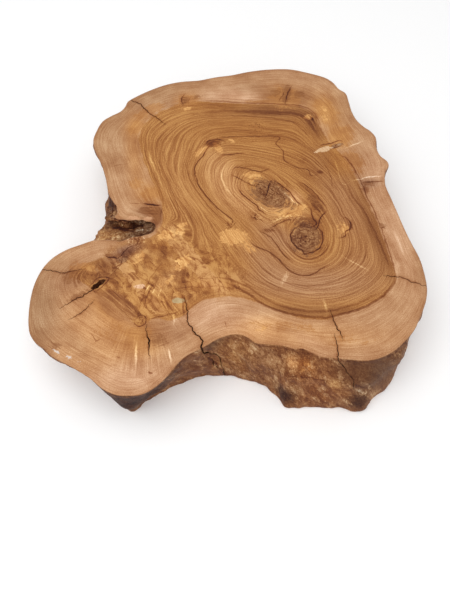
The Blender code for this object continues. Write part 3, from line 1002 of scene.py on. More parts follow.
no_cut = slab_mesh.attributes.new("cut", "FLOAT", "FACE")
no_cut.data.foreach_set("value", np.zeros(len(slab_faces)))
cut = slab.modifiers.new("drying cracks", "BOOLEAN")
cut.operation = "DIFFERENCE"
cut.operand_type = "COLLECTION"
cut.collection = cutters
cut.solver = "EXACT"
bpy.context.view_layer.update()
evaluated = slab.evaluated_get(bpy.context.evaluated_depsgraph_get())
cut_mesh = bpy.data.meshes.new_from_object(evaluated)
slab.modifiers.clear()
slab.data = cut_mesh
for cutter in list(cutters.objects):
    bpy.data.objects.remove(cutter)
bpy.data.collections.remove(cutters)
print(len(cut_mesh.vertices), "points and", len(cut_mesh.polygons), "faces after cutting")

# %% [markdown]
# ## Colours
# The eye sees a wood's own colour times the light on it, plus a little gloss. The tones
# here are named as they should look in this scene, and one function works back to the
# wood's own colour from the light of the lamp and the sky. The wall stands upright, so
# it gets less light than the face. Blender's colours are linear, so the screen's curve is
# taken off first.

# %% The tones of olive wood
FACE_LIGHT, FACE_GLOSS = 1.13, 0.013
WALL_LIGHT, WALL_GLOSS = 1.04, 0.014
SCREEN_OFFSET, SCREEN_POWER, DARKEST = 0.055, 2.4, 0.003
TONES = {
    "tan": (196, 149, 109),
    "grey_tan": (181, 136, 97),
    "pink_tan": (206, 158, 121),
    "honey": (202, 148, 99),
    "light_honey": (221, 166, 113),
    "rust": (170, 118, 79),
    "amber_tan": (188, 129, 73),
    "gold": (182, 126, 72),
    "amber": (170, 112, 60),
    "walnut": (143, 91, 54),
    "rose": (174, 125, 88),
    "cream_gold": (205, 151, 99),
    "bright_gold": (226, 169, 104),
    "cream": (230, 192, 150),
    "chalk": (192, 168, 126),
    "plum": (140, 98, 76),
    "slate": (134, 94, 68),
    "bark": (136, 89, 56),
    "deep_bark": (106, 73, 51),
    "dark_bark": (66, 42, 28),
    "char": (138, 106, 80),
    "umber_tan": (158, 108, 74),
    "red_brown": (142, 91, 62),
    "blush": (220, 172, 134),
    "umber_bark": (122, 78, 51),
    "shade_bark": (98, 62, 42),
    "pale_bark": (164, 120, 82),
    "orange_bark": (176, 114, 62),
    "red_bark": (134, 82, 50),
    "khaki": (176, 132, 92),
    "dim_tan": (168, 126, 90),
    "dim_honey": (201, 147, 98),
    "wedge_rust": (160, 107, 66),
    "russet": (146, 92, 54),
    # painted highlight: the near-white of glints on the lobe's oiled rim
    "glint_white": (226, 214, 204),
    "grey_bark": (142, 106, 78),
    "gold_bark": (176, 124, 76),
    # painted shade: the dark laid inside the cracks and the knot hole
    "crack": (62, 40, 28),
}


def own_colour(tone, light=FACE_LIGHT, gloss=FACE_GLOSS):
    """The wood's own colour, for Blender, of a tone as it is seen."""
    seen = np.array(TONES[tone]) / 255.0
    linear = ((seen + SCREEN_OFFSET) / (1.0 + SCREEN_OFFSET)) ** SCREEN_POWER
    return np.maximum((linear - gloss) / light, DARKEST)


print(len(TONES), "tones; tan is", own_colour("tan").round(3))

# %% [markdown]
# ## Washes of colour
# The ground colour drifts slowly over the slab: greyer at the left rim, honey at the
# front, darker under the right shoulder. A painter would lay it in washes, and so does
# this cell. Each wash is a tone laid softly over a region: its middle, its half length
# and half width in millimetres, its turn in degrees and its strength. On the live edge a
# wash is a ball: its middle, its depth below the face, its reach and its strength. Two
# lists of balls say where the edge is smooth and where bark has stayed on.

# %% Washes on the sapwood, the heartwood and the live edge
SAPWOOD_WASHES = {
    "left rim": ("grey_tan", -190, 135, 45, 80, 0, 0.8),
    "upper left": ("grey_tan", -125, 214, 65, 26, 22, 0.95),
    "top": ("pink_tan", 20, 220, 62, 16, 4, 0.85),
    "back edge": ("rust", 95, 268, 85, 17, -6, 0.55),
    "back": ("amber_tan", 82, 222, 30, 20, 0, 0.75),
    "back flame": ("amber_tan", -66, 210, 18, 16, 30, 0.6),
    "back right": ("amber_tan", 152, 186, 26, 38, 20, 0.95),
    "shoulder": ("grey_tan", 184, 190, 22, 40, 0, 0.5),
    "right stain": ("rust", 184, 84, 20, 34, 10, 0.6),
    "right": ("pink_tan", 230, -40, 22, 75, 8, 0.75),
    "upper right": ("pink_tan", 214, 62, 16, 34, 0, 0.6),
    "right edge": ("grey_tan", 262, -110, 12, 60, 0, 0.6),
    "front": ("honey", 90, -200, 95, 18, 0, 0.8),
    "front gold": ("light_honey", 34, -186, 34, 14, 0, 0.95),
    "hollow": ("pink_tan", -22, -170, 42, 22, -8, 0.85),
    "lobe": ("dim_honey", -165, -200, 58, 48, -30, 0.9),
    "lobe front": ("pink_tan", -122, -262, 46, 14, 0, 0.6),
    "lobe left": ("dim_tan", -246, -160, 24, 66, 8, 0.95),
    "below the burr": ("rust", -95, -196, 34, 14, 0, 0.55),
    "beside the slit": ("plum", -112, -6, 18, 8, 0, 0.55),
    "lobe light": ("light_honey", -152, -176, 16, 12, 0, 0.6),
    "lobe front grey": ("grey_tan", -200, -205, 34, 12, -42, 0.5),
    "above the slit": ("amber_tan", -112, 28, 20, 14, 0, 0.6),
    "left border": ("amber_tan", -140, 95, 12, 70, 8, 0.6),
    "left corner": ("amber_tan", -142, 158, 14, 22, -25, 0.7),
    "wedge round": ("wedge_rust", 88, 218, 38, 17, -4, 0.95),
    "wedge": ("walnut", 91, 222, 9, 18, -8, 0.8),
    "below the shoulder": ("amber_tan", 166, 130, 17, 22, -30, 0.8),
    "back middle": ("grey_tan", 34, 234, 20, 16, 0, 0.6),
    "lobe brown": ("umber_tan", -198, -112, 32, 17, 15, 0.95),
    "lobe upper grey": ("grey_tan", -228, -92, 22, 11, -38, 0.8),
    "fan": ("amber_tan", -158, -162, 36, 12, -42, 0.75),
    "under the knot": ("amber_tan", -112, -206, 28, 22, 0, 0.8),
    "under the burr": ("umber_tan", -82, -196, 24, 15, 0, 0.55),
    "beside the notch": ("red_brown", -106, -6, 14, 12, 0, 0.95),
    "notch corner": ("red_brown", -101, -20, 8, 12, 0, 0.9),
    "below the white line": ("plum", 200, 45, 16, 8, 0, 0.55),
    "left border low": ("amber_tan", -108, 20, 12, 40, 8, 0.5),
    "top cream": ("blush", 16, 215, 26, 10, 8, 0.6),
    "front cream": ("blush", 102, -209, 22, 8, -30, 0.3),
    "front rust": ("rust", 74, -190, 18, 5, -5, 0.4),
    "lobe end": ("pink_tan", -112, -250, 40, 16, 0, 0.5),
}
HEARTWOOD_WASHES = {
    "back gold": ("amber", -55, 198, 32, 9, 2, 0.9),
    "back gold right": ("amber", 0, 197, 34, 8, 0, 0.8),
    "back band": ("walnut", 74, 187, 58, 14, -3, 0.95),
    "corner band": ("walnut", 131, 158, 13, 32, 22, 0.85),
    "beyond the corner": ("amber", 158, 106, 12, 14, -40, 0.6),
    "figure": ("amber", 22, 143, 66, 22, 0, 0.7),
    "upper right": ("amber", 106, 108, 50, 40, -40, 0.6),
    "right of the piths": ("walnut", 150, 62, 44, 24, -55, 0.45),
    "inner left": ("cream_gold", -8, 52, 22, 46, 18, 0.9),
    "inner low": ("cream_gold", 20, 10, 34, 14, -46, 0.7),
    "right": ("rust", 168, 0, 30, 70, 20, 0.75),
    "right band": ("walnut", 202, -48, 11, 78, 12, 0.8),
    "amber right": ("amber", 163, 86, 17, 28, -22, 0.95),
    "low": ("rose", 110, -122, 82, 24, 0, 0.9),
    "low right": ("rust", 172, -96, 28, 30, 0, 0.6),
    "low band": ("walnut", 104, -165, 96, 8, -1, 0.8),
    "below the inner rings": ("rose", 52, -92, 34, 20, -40, 0.7),
    "middle": ("amber", -22, -86, 40, 16, -10, 0.6),
    "left": ("cream_gold", -72, 40, 24, 70, 14, 0.2),
    "burr": ("gold", -95, -120, 80, 48, 0, 0.6),
    "burr front": ("amber_tan", -78, -150, 50, 14, 0, 0.7),
    "burr left": ("walnut", -168, -100, 28, 18, 30, 0.9),
    "burr plum": ("plum", -140, -72, 24, 11, 20, 0.9),
    "burr burnt": ("amber", -90, -62, 22, 9, 0, 0.8),
    "burr light": ("cream_gold", -80, -115, 20, 9, 40, 0.55),
    "burr fans": ("bright_gold", -122, -78, 16, 7, 35, 0.45),
    "burr level": ("amber_tan", -30, -125, 44, 8, -4, 0.9),
    "between the piths": ("cream_gold", 80, -6, 30, 12, -20, 0.7),
    "right of the upper pith": ("light_honey", 92, 20, 12, 8, -42, 0.9),
    "round the lower pith": ("rose", 68, -52, 34, 18, -42, 0.8),
}
WALL_WASHES = {
    "lobe bark": ("dark_bark", -128, -274, 38, 44, 0.95),
    "lobe bark left": ("dark_bark", -175, -250, 40, 40, 0.8),
    "lobe bark grey": ("grey_bark", -114, -272, 56, 10, 0.35),
    "toe": ("dark_bark", -82, -254, 28, 30, 0.8),
    "hollow left": ("umber_bark", -46, -222, 34, 36, 0.7),
    "hollow top": ("deep_bark", -24, -204, 8, 14, 0.8),
    "hollow": ("gold_bark", 4, -206, 45, 24, 0.65),
    "khaki": ("khaki", 38, -212, 14, 10, 0.5),
    "khaki low": ("khaki", 46, -220, 27, 12, 0.45),
    "khaki left": ("khaki", 24, -206, 24, 8, 0.2),
    "pale streak": ("pale_bark", 36, -216, 28, 10, 0.4),
    "pale streak low": ("pale_bark", 52, -224, 42, 10, 0.4),
    "pale middle": ("pale_bark", 66, -229, 28, 9, 0.5),
    "beside the knot": ("pale_bark", 60, -240, 76, 11, 0.5),
    "under the knot": ("pale_bark", 88, -257, 88, 9, 0.3),
    "orange": ("cream_gold", 80, -227, 20, 9, 1.0),
    "orange right": ("orange_bark", 96, -232, 21, 9, 0.85),
    "red": ("red_bark", 112, -246, 56, 32, 0.8),
    "red pale": ("gold_bark", 135, -248, 42, 8, 0.9),
    "knot side": ("pale_bark", 88, -248, 62, 9, 0.8),
    "knot": ("dark_bark", 73, -250, 78, 13, 1.0),
    "right of the red": ("shade_bark", 156, -236, 20, 22, 0.9),
    "far shade": ("shade_bark", 188, -236, 26, 26, 0.9),
    "veins": ("grey_bark", 170, -251, 52, 9, 0.5),
    "toe right": ("dark_bark", 171, -260, 73, 14, 0.9),
    "toe pale": ("pale_bark", 152, -258, 76, 7, 0.6),
    "right": ("deep_bark", 204, -224, 40, 40, 0.8),
    "far right": ("gold_bark", 215, -219, 26, 9, 0.25),
    "notch": ("char", -126, -26, 14, 24, 1.0),
    "notch end": ("char", -110, -30, 8, 14, 0.9),
    "notch brown": ("red_bark", -155, -9, 28, 15, 0.9),
    "notch dark": ("dark_bark", -172, -4, 31, 12, 0.6),
    "notch gold": ("pale_bark", -158, -32, 24, 13, 0.9),
    "notch gold left": ("gold_bark", -180, -36, 26, 22, 0.9),
    "notch bark": ("dark_bark", -171, 12, 10, 13, 0.8),
    "notch bark pale": ("pale_bark", -169, -1, 16, 7, 0.9),
}
WASH_EDGE, WASH_FALL = 1.3, 0.7
BALL_EDGE, BALL_FADE = 1.35, 0.5
SMOOTH_EDGE = ((158, -236, 18, 18), (185, -235, 26, 26), (205, -230, 50, 28))
BARK_LEFT_ON = (
    (-124, -26, 12, 24), (-158, -8, 28, 16), (-172, 12, 16, 20), (-128, -272, 48, 42), (-168, -252, 50, 34),
)


def fading(shares):
    """1 in the middle and near 0 beyond the reach, from the squared shares of the reach."""
    return np.exp(-(shares**WASH_EDGE) * WASH_FALL)


def wash_strength(places, x, y, half_length, half_width, turn, strength):
    """How strongly a wash or a patch lies on each place of the face."""
    offsets = places - (np.array([x, y]) - np.array(OUTLINE_CENTRE))
    cosine, sine = math.cos(math.radians(turn)), math.sin(math.radians(turn))
    lengthways = (offsets[:, 0] * cosine + offsets[:, 1] * sine) / half_length
    sideways = (offsets[:, 1] * cosine - offsets[:, 0] * sine) / half_width
    return strength * fading(lengthways**2 + sideways**2)


def ball_gaps(deep_places, x, y, depth, reach):
    """How many reaches each place is away from the middle of a ball."""
    offsets = deep_places - (np.array([x, y, depth]) - np.array([*OUTLINE_CENTRE, 0.0]))
    return np.sqrt((offsets**2).sum(1)) / reach


def ball_strength(deep_places, x, y, depth, reach, strength):
    """How strongly a wash lies on each place of the live edge."""
    return strength * fading(ball_gaps(deep_places, x, y, depth, reach) ** 2)


def lay_washes(places, ground, washes, strength_of, light=(FACE_LIGHT, FACE_GLOSS)):
    """The ground colour with each wash laid over it in turn."""
    colours = own_colour(ground, *light)
    for tone, *wash in washes.values():
        cover = strength_of(places, *wash)[:, None]
        colours = colours * (1 - cover) + own_colour(tone, *light) * cover
    return colours


def edge_cover(deep_places, balls):
    """Where the live edge is in one of these balls, fading at their edges."""
    gaps = np.min([ball_gaps(deep_places, *ball) for ball in balls], axis=0)
    return np.clip((BALL_EDGE - gaps) / BALL_FADE, 0.0, 1.0)


print(len(SAPWOOD_WASHES) + len(HEARTWOOD_WASHES) + len(WALL_WASHES), "washes")

# %% [markdown]
# ## Patches
# Some marks have a ragged edge that a wash doesn't: golden knots, dark whorls round the
# piths, a pale chip. Each kind is kept as its own strength over the face, and the
# material tears its edge with noise.

# %% Patches, each with a middle, a half length, a half width, a turn and a strength
PATCHES = {
    "golden": {
        "beside the notch": (-87, -46, 11, 9, 0, 1.1),
        "right of that": (-69, -40, 8, 7, 0, 0.9),
        "above that": (-66, -29, 8, 4, 20, 0.8),
        "below the figure": (6, -49, 19, 13, -12, 1.15),
        "tail": (26, -66, 12, 7, -40, 0.7),
        "upper pith": (34, 59, 14, 6, -4, 1.1),
        "upper pith low": (32, 47, 4, 5, 0, 0.8),
        "between the piths": (82, -7, 24, 8, -2, 0.9),
        "end of that": (104, 2, 8, 7, 0, 0.8),
        "upper right knot": (123, 174, 6, 5, 0, 1.0),
        "back right": (146, 190, 8, 9, 0, 0.55),
        "loop": (158, -35, 8, 12, 0, 0.8),
        "burr fan": (-122, -78, 14, 5, 35, 0.6),
        "burr fan low": (-128, -92, 12, 5, 30, 0.55),
        "burr light": (-80, -116, 15, 6, 42, 0.65),
        "burr knot": (-114, -177, 4, 4, 0, 0.5),
        "front fleck": (40, -190, 10, 5, 20, 0.5),
        "figure left": (-40, 106, 15, 4.5, 48, 1.0),
        "figure right": (-17, 112, 11, 5, -60, 1.1),
        "figure top": (3, 125, 7, 4, -40, 0.8),
        "corner": (148, 172, 10, 8, -50, 0.55),
        "flame tongue": (-66, 192, 10, 4, 15, 0.75),
        "burr smooth": (-68, -92, 17, 9, 42, 0.9),
    },
    "ochre": {
        "back": (88, 214, 24, 22, 6, 1.1),
        "back low": (60, 206, 44, 5, 0, 0.9),
        "back flame": (-66, 206, 18, 15, 25, 1.1),
        "back right": (150, 184, 16, 30, 16, 1.1),
        "below the shoulder": (168, 134, 18, 24, -30, 1.1),
        "right": (182, 84, 18, 24, 10, 0.9),
        "upper left": (-124, 186, 26, 12, 35, 0.9),
        "left corner": (-142, 152, 12, 18, -20, 0.9),
        "left": (-134, 44, 12, 12, 0, 0.8),
        "above the slit": (-112, 26, 20, 14, 0, 0.8),
        "lobe": (-196, -104, 20, 14, 12, 0.9),
        "lobe body": (-146, -196, 28, 14, -20, 0.6),
        "below the burr": (-118, -196, 20, 12, 0, 0.9),
        "front": (66, -186, 60, 8, -4, 0.6),
        "front right": (150, -206, 40, 10, 0, 0.5),
    },
    "brown": {
        "wedge": (91, 222, 6, 18, -8, 1.3),
        "wedge left": (72, 226, 12, 8, 0, 0.8),
        "wedge right": (110, 222, 10, 9, 0, 0.8),
        "flame": (-72, 206, 8, 11, -15, 0.6),
        "smudge": (-217, -213, 9, 6, -30, 0.65),
        "flame right": (-50, 217, 12, 5, 20, 0.6),
        "notch side": (-117, -5, 11, 6, 0, 1.1),
        "notch side right": (-103, -6, 8, 8, 0, 1.2),
        "notch corner": (-102, -20, 6, 10, 0, 1.0),
        "below the white line": (200, 44, 12, 5, 0, 0.7),
        "lobe left": (-204, -112, 24, 12, 10, 0.8),
        "beside the crack": (-200, -142, 20, 5, 33, 0.7),
        "under the burr": (-92, -206, 16, 14, 0, 0.6),
        "right knot": (213, -31, 6, 5, 0, 0.8),
        "between the piths": (122, 10, 8, 18, 25, 0.8),
        "above the lower pith": (108, -26, 15, 9, 0, 1.2),
    },
    "cream": {
        "chip": (141, 108, 9, 4, 14, 1.15),
        "chip top": (147, 112, 5, 2.6, 10, 1.1),
        "chip left": (131, 104, 5, 2.4, 30, 1.0),
        "chip end": (155, 112, 3, 2, 0, 1.0),
        "chip far end": (165, 118, 4, 1.6, 25, 0.9),
    },
    "blush": {
        "notch lip": (-134, -17, 9, 2.6, 0, 1.0),
        "burr fleck": (-119, -128, 7, 3, 0, 0.95),
        "notch lip right": (-114, -18, 7, 2.8, 0, 1.0),
        "inside the notch": (-140, -47, 10, 3, 20, 0.7),
    },
    "chalk": {"filler": (-67, -149, 8, 4, 4, 1.15)},
    "slate": {
        "chip end": (162, 116, 10, 3.4, 20, 1.2),
        "lower pith": (105, -52, 19, 21, 0, 1.4),
        "lower pith top": (106, -31, 10, 8, 0, 0.8),
        "upper pith": (60, 24, 29, 20, -42, 1.2),
        "burr gum": (-146, -88, 9, 6, 30, 0.8),
    },
    "umber": {
        "figure": (-24, 119, 12, 7, 0, 1.5),
        "around the lower pith": (104, -54, 14, 14, 0, 0.8),
        "upper pith": (64, 24, 24, 18, -42, 0.4),
        "above the lower pith": (107, -30, 11, 8, 0, 1.25),
        "between": (122, 4, 10, 20, 25, 0.75),
        "lobe side": (-196, -112, 20, 10, 12, 0.6),
        "burr plum": (-134, -74, 20, 8, 22, 1.2),
        "burr red": (-128, -56, 11, 9, 0, 1.1),
        "burr triangle": (-34, -86, 18, 9, 12, 0.95),
        "burr middle": (-97, -105, 8, 12, 30, 0.5),
        "flecks": (-1, -30, 5, 8, 0, 0.8),
        "left of bright": (36, -14, 9, 8, 0, 0.9),
        "right of bright": (54, -38, 10, 4, 0, 1.1),
        "spot": (133, 65, 5, 3, 0, 1.4),
        "smudge": (195, 34, 8, 8, 0, 1.1),
        "back flame": (-70, 208, 6, 12, -20, 0.4),
        "upper right knot": (128, 170, 3, 4, 0, 1.5),
        "loop": (169, -28, 3, 8, 0, 1.2),
        "above chip": (108, 86, 30, 14, -50, 0.4),
    },
    "crinkled": {
        "between the piths": (80, -18, 25, 6, 8, 1.2),
        "notch gold": (-158, -31, 20, 10, 0, 1.1),
        "burr red": (-128, -56, 13, 12, 0, 1.0),
        "burr knot": (-115, -178, 6, 6, 0, 0.9),
        "figure": (-22, 118, 12, 6, 0, 0.6),
        "left of the bright": (38, -14, 10, 10, 0, 0.7),
        "flecks": (-1, -30, 7, 9, 0, 0.9),
    },
    "whorled": {
        "upper pith": (62, 26, 27, 20, -42, 1.2),
        "lower pith": (104, -50, 20, 23, 0, 1.2),
        "above the lower pith": (106, -28, 14, 10, 0, 0.9),
        "loop": (158, -35, 9, 13, 0, 0.7),
    },
    "rayed": {
        "lobe front": (-105, -226, 40, 28, 0, 1.3),
        "lobe middle": (-140, -205, 22, 22, 0, 0.9),
        "hollow": (-66, -178, 14, 18, 0, 0.9),
    },
    "hatched": {
        "below the knot hole": (-148, -156, 30, 15, -42, 1.2),
    },
    # painted highlights: three small glints on the lobe's oiled rim
    "painted_glints": {
        "left": (-216, -221, 5, 1.3, -25, 0.95),
        "middle": (-200, -228, 4.5, 2, -25, 1.1),
        "right": (-187, -235, 3.2, 1.5, 20, 0.9),
    },
    "dotted": {
        "pin holes": (42, 154, 12, 10, 0, 1.0),
        "upper pith": (46, 40, 9, 7, 0, 0.9),
        "front": (-10, -190, 6, 6, 0, 0.3),
    },
    "beaded": {
        "burr red": (-128, -56, 12, 12, 0, 1.0),
        "burr plum": (-138, -78, 16, 7, 20, 0.6),
    },
}


def patch_strength(places, patches):
    """How strongly each place is in one of the patches, fading from its middle."""
    return np.max([wash_strength(places, *patch) for patch in patches.values()], axis=0)


print({kind: len(patches) for kind, patches in PATCHES.items()})

# %% [markdown]
# ## Lines on the live edge
# The peeled edge has dark lines too: checks in the old bark of the notch, the ring round a
# knot, and two lines of painted shadow, under the sawn rim and under the notch's top rim.
# They lie on the wall, so each place has a depth below the face as well. A strength below
# 0 draws a pale vein.

# %% Lines drawn on the live edge, as x, y and depth
EDGE_LINES = {
    # painted shadow: a dark line just under the sawn rim, where the rim shades the wall
    "painted_shadow_under_rim": (1.5, 0.6, (
        (19, -201, 8), (38, -210, 4), (63, -213, 5), (88, -219, 7), (100, -222, 6), (118, -229, 4),
        (143, -232, 5), (168, -233, 5), (194, -227, 6), (214, -214, 5), (228, -199, 3),
    )),
    "hollow_check": (1.5, 1.8, ((-28, -213, 38), (-18, -212, 60), (-10, -214, 83), (-6, -216, 98))),
    "vein_left": (1.5, -1.2, ((150, -249, 37), (157, -250, 45), (166, -251, 53), (174, -253, 62))),
    "vein_right": (1.5, -1.1, (
        (166, -247, 36), (174, -247, 40), (181, -248, 49), (182, -250, 58), (177, -253, 66),
    )),
    "vein_inside": (2.2, 1.3, ((162, -249, 43), (168, -249, 47), (173, -250, 52))),
    "knot_ring": (1.2, 1.0, (
        (65, -240, 77), (70, -243, 56), (77, -246, 55), (82, -251, 70), (76, -256, 79), (68, -250, 89),
        (65, -240, 77),
    )),
    "red_upper": (1.0, 1.1, (
        (42, -222, 45), (59, -229, 47), (77, -240, 34), (102, -243, 33), (121, -245, 35),
    )),
    # painted shadow: a dark line just under the notch's top rim, which overhangs the pocket
    "painted_shadow_under_notch_rim": (1.5, 3.4, (
        (-160, -17, 2), (-151, -20, 3), (-141, -21, 2), (-128, -19, 4), (-117, -20, 6), (-107, -23, 3),
    )),
    "notch_right": (2.2, 1.8, (
        (-105, -25, 1), (-105, -31, 5), (-109, -36, 7), (-118, -36, 11), (-128, -37, 15),
    )),
    "notch_lens_low": (1.5, 3.0, ((-169, -9, 33), (-161, -13, 29), (-151, -20, 26), (-142, -24, 22))),
    "notch_blob": (2.4, 3.2, ((-140, -9, 21), (-137, -12, 21), (-134, -11, 20))),
    "notch_crack": (1.5, 3.4, ((-138, -19, 22), (-135, -16, 21), (-129, -16, 19), (-121, -21, 15))),
    "notch_arc": (1.3, -1.8, ((-141, -8, 20), (-139, -12, 22), (-139, -19, 22))),
    # Beside the rings, the face has lines of its own: dark lines of gum, a few bright rays, and the lines
    # that border the heartwood. One dark line is a painted shadow, under a pale line on the right. Each is
    # drawn once here, at its place on the face, with its half width in millimetres and its strength. A
    # strength of 1 is one coat of stain, which a dark line adds and a pale line takes away. They are read
    # later at the points of the mesh, so the mesh is made finer along them.
    "notch_lens": (2.6, -0.9, ((-136, -24, 20), (-128, -27, 17), (-122, -25, 15))),
    "notch_lens_top": (2.0, -0.9, ((-134, -11, 20), (-127, -14, 18), (-122, -18, 10))),
    "notch_lens_red": (2.6, -0.8, ((-164, -5, 31), (-155, -9, 28), (-145, -14, 24))),
    "column_edge": (1.4, 1.6, ((-174, 24, 13), (-170, 12, 11), (-169, 5, 16), (-172, -1, 20))),
    "column_pale": (1.8, -1.2, ((-168, 3, 16), (-166, -5, 14), (-171, -5, 19))),
}
print(len(EDGE_LINES), "lines on the live edge")

# %% [markdown]
# ## The burr
# Where the lobe joins the trunk, the fibres are knotted into a burr, and its flames run
# up to the right. Rings can't describe them, so the burr has its own field: numbered
# lines are drawn along the flames, and the same thin plate fills in between them.

# %% Lines along the flames, and where the burr ends
FLAME_LINES = {
    -2: ((-202, -110), (-185, -94), (-169, -78), (-152, -64), (-137, -51)),
    -1: (
        (-187, -124), (-170, -108), (-154, -93), (-138, -78), (-122, -64), (-109, -51), (-99, -38),
        (-90, -26),
    ),
    0: (
        (-170, -136), (-156, -121), (-140, -105), (-123, -90), (-108, -74), (-98, -61), (-88, -48),
        (-78, -36),
    ),
    1: (
        (-153, -148), (-138, -133), (-119, -118), (-100, -99), (-83, -83), (-67, -70), (-52, -57),
        (-40, -45),
    ),
    2: ((-135, -166), (-119, -148), (-105, -130), (-86, -115), (-66, -99), (-47, -90), (-24, -83)),
    3: (
        (-117, -184), (-109, -163), (-98, -142), (-79, -127), (-55, -116), (-33, -113), (-13, -116),
        (11, -127),
    ),
    4: ((-102, -180), (-90, -160), (-72, -142), (-46, -131), (-19, -130), (7, -136)),
    5: ((-83, -180), (-64, -158), (-39, -145), (-19, -142)),
}
BURR_OUTLINE = (
    (-193, -115), (-185, -90), (-170, -74), (-153, -60), (-131, -51), (-106, -51), (-99, -33), (-80, -26),
    (-62, -30), (-50, -42), (-44, -60), (-22, -66), (0, -80), (14, -102), (22, -124), (7, -137), (-21, -143),
    (-34, -148), (-46, -156), (-58, -165), (-79, -174), (-95, -172), (-107, -184), (-122, -183),
    (-139, -163), (-162, -142), (-181, -133),
)
FLAME_SLACK = 400.0

flame_rows = [(number, place) for number, line in FLAME_LINES.items() for place in line]
flame_pins = np.array([Vector(place) - OUTLINE_CENTRE for _, place in flame_rows])
flame_heights = np.array([number for number, _ in flame_rows], float)
FLAMES = fit_sheet(flame_pins, flame_heights, FLAME_SLACK)
print(len(flame_pins), "flame pins")

# %% [markdown]
# ## What each point knows
# Colour will be worked out by the material, but from values that the mesh carries: the
# age of the wood, how far inside the heartwood a point is, the washes, and how strongly
# a line or a patch touches it. They are stored as named attributes. A line thins and
# fades towards its ends. The flames and rays are stored in the same way.

# %% Store them on the points
LEAST_TAPER, TAPER_FOR_WIDTH, MOST_TAPER_SHARE, THIN_END = 5.0, 9.0, 0.33, 0.6
BORDER_STEP = 1.5
SAMPLE_STEP = 0.6
FARTHEST = 8.0
CRACK_STAIN, CRACK_STAIN_WIDTH = 0.9, 1.5
LEAST_EDGE_DEPTH, EDGE_SAMPLE_STEP = 0.2, 1.2
RAY_MIDDLE = (-113, -120)


def nearest_line(places, lines):
    """For each place, how many half widths the nearest line is away, and its strength there."""
    samples, widths, strengths = [], [], []
    for width, strength, points in lines.values():
        path = drawn_line(points, SAMPLE_STEP)
        run = np.arange(len(path)) * SAMPLE_STEP
        taper_reach = min(LEAST_TAPER + TAPER_FOR_WIDTH * width, MOST_TAPER_SHARE * run[-1])
        taper = np.minimum(np.minimum(run, run[::-1]) / taper_reach, 1.0)
        samples += path
        widths += list(width * (THIN_END + (1.0 - THIN_END) * taper))
        strengths += list(strength * taper)
    gaps, which = nearest(places, samples)
    return np.minimum(gaps / np.array(widths)[which], FARTHEST), np.array(strengths)[which]


def nearest_edge_line(deep_places, lines):
    """The same for the lines on the live edge, which are snapped to the points of its mesh."""
    edge_points = deep_places[deep_places[:, 2] > LEAST_EDGE_DEPTH]
    samples, widths, strengths = [], [], []
    for width, strength, points in lines.values():
        for start, end in zip(points, points[1:]):
            steps = max(2, round(math.dist(start, end) / EDGE_SAMPLE_STEP))
            for share in np.linspace(0.0, 1.0, steps):
                place = np.array(start) * (1 - share) + np.array(end) * share
                samples.append(place - np.array([*OUTLINE_CENTRE, 0.0]))
                widths.append(width)
                strengths.append(strength)
    _, which = nearest(samples, edge_points)
    gaps, which = nearest(deep_places, edge_points[which])
    return np.minimum(gaps / np.array(widths)[which], FARTHEST), np.array(strengths)[which]


def signed_gap(places, outline):
    """Distance in from a closed outline, below zero outside it."""
    loop = smooth_line([*outline, outline[0]], BORDER_STEP)
    gaps, _ = nearest(places, loop)
    return np.where(inside(places, loop), gaps, -gaps)


def store(mesh, name, values):
    """Keeps one number for each point of the mesh under a name."""
    attribute = mesh.attributes.new(name, "FLOAT", "POINT")
    attribute.data.foreach_set("value", np.asarray(values, np.float32))


def store_colour(mesh, name, colours):
    """Keeps one colour for each point of the mesh under a name."""
    attribute = mesh.attributes.new(name, "FLOAT_COLOR", "POINT")
    opaque = np.hstack([colours, np.ones((len(colours), 1))])
    attribute.data.foreach_set("color", np.asarray(opaque, np.float32).ravel())


coordinates = np.empty(len(cut_mesh.vertices) * 3)
cut_mesh.vertices.foreach_get("co", coordinates)
everywhere = coordinates.reshape(-1, 3) / MM
places = everywhere[:, :2]
deep_places = np.column_stack([places, THICKNESS - everywhere[:, 2]])

crack_lines = {
    name: (CRACK_STAIN_WIDTH, CRACK_STAIN, [row[:2] for row in stations])
    for name, (wander, stations) in CRACKS.items()
    if wander[0][0] == 0
}
store(cut_mesh, "age", sheet_heights(GROWTH, places))
store(cut_mesh, "flame", sheet_heights(FLAMES, places))
store(cut_mesh, "ray", np.arctan2(places[:, 0] - RAY_MIDDLE[0], RAY_MIDDLE[1] - places[:, 1]))
store(cut_mesh, "heart", signed_gap(places, HEART_BORDER))
store(cut_mesh, "burr", signed_gap(places, BURR_OUTLINE))
store(cut_mesh, "rim", nearest(places, [point[:2] for point in wall[0]])[0])
for kind, lines in (("dark", DARK_LINES), ("pale", PALE_LINES), ("crack", crack_lines)):
    gaps, strengths = nearest_line(places, lines)
    store(cut_mesh, kind + "_gap", gaps)
    store(cut_mesh, kind + "_coats", strengths)
gaps, strengths = nearest_edge_line(deep_places, EDGE_LINES)
store(cut_mesh, "edge_gap", gaps)
store(cut_mesh, "edge_coats", strengths)
for kind, patches in PATCHES.items():
    store(cut_mesh, kind, patch_strength(places, patches))
edge_washes = lay_washes(deep_places, "bark", WALL_WASHES, ball_strength, (WALL_LIGHT, WALL_GLOSS))
store_colour(cut_mesh, "sapwood", lay_washes(places, "tan", SAPWOOD_WASHES, wash_strength))
store_colour(cut_mesh, "heartwood", lay_washes(places, "gold", HEARTWOOD_WASHES, wash_strength))
store_colour(cut_mesh, "live_edge", edge_washes)
store(cut_mesh, "bark", edge_cover(deep_places, BARK_LEFT_ON))
store(cut_mesh, "smooth_edge", edge_cover(deep_places, SMOOTH_EDGE))
print("stored", [attribute.name for attribute in cut_mesh.attributes])

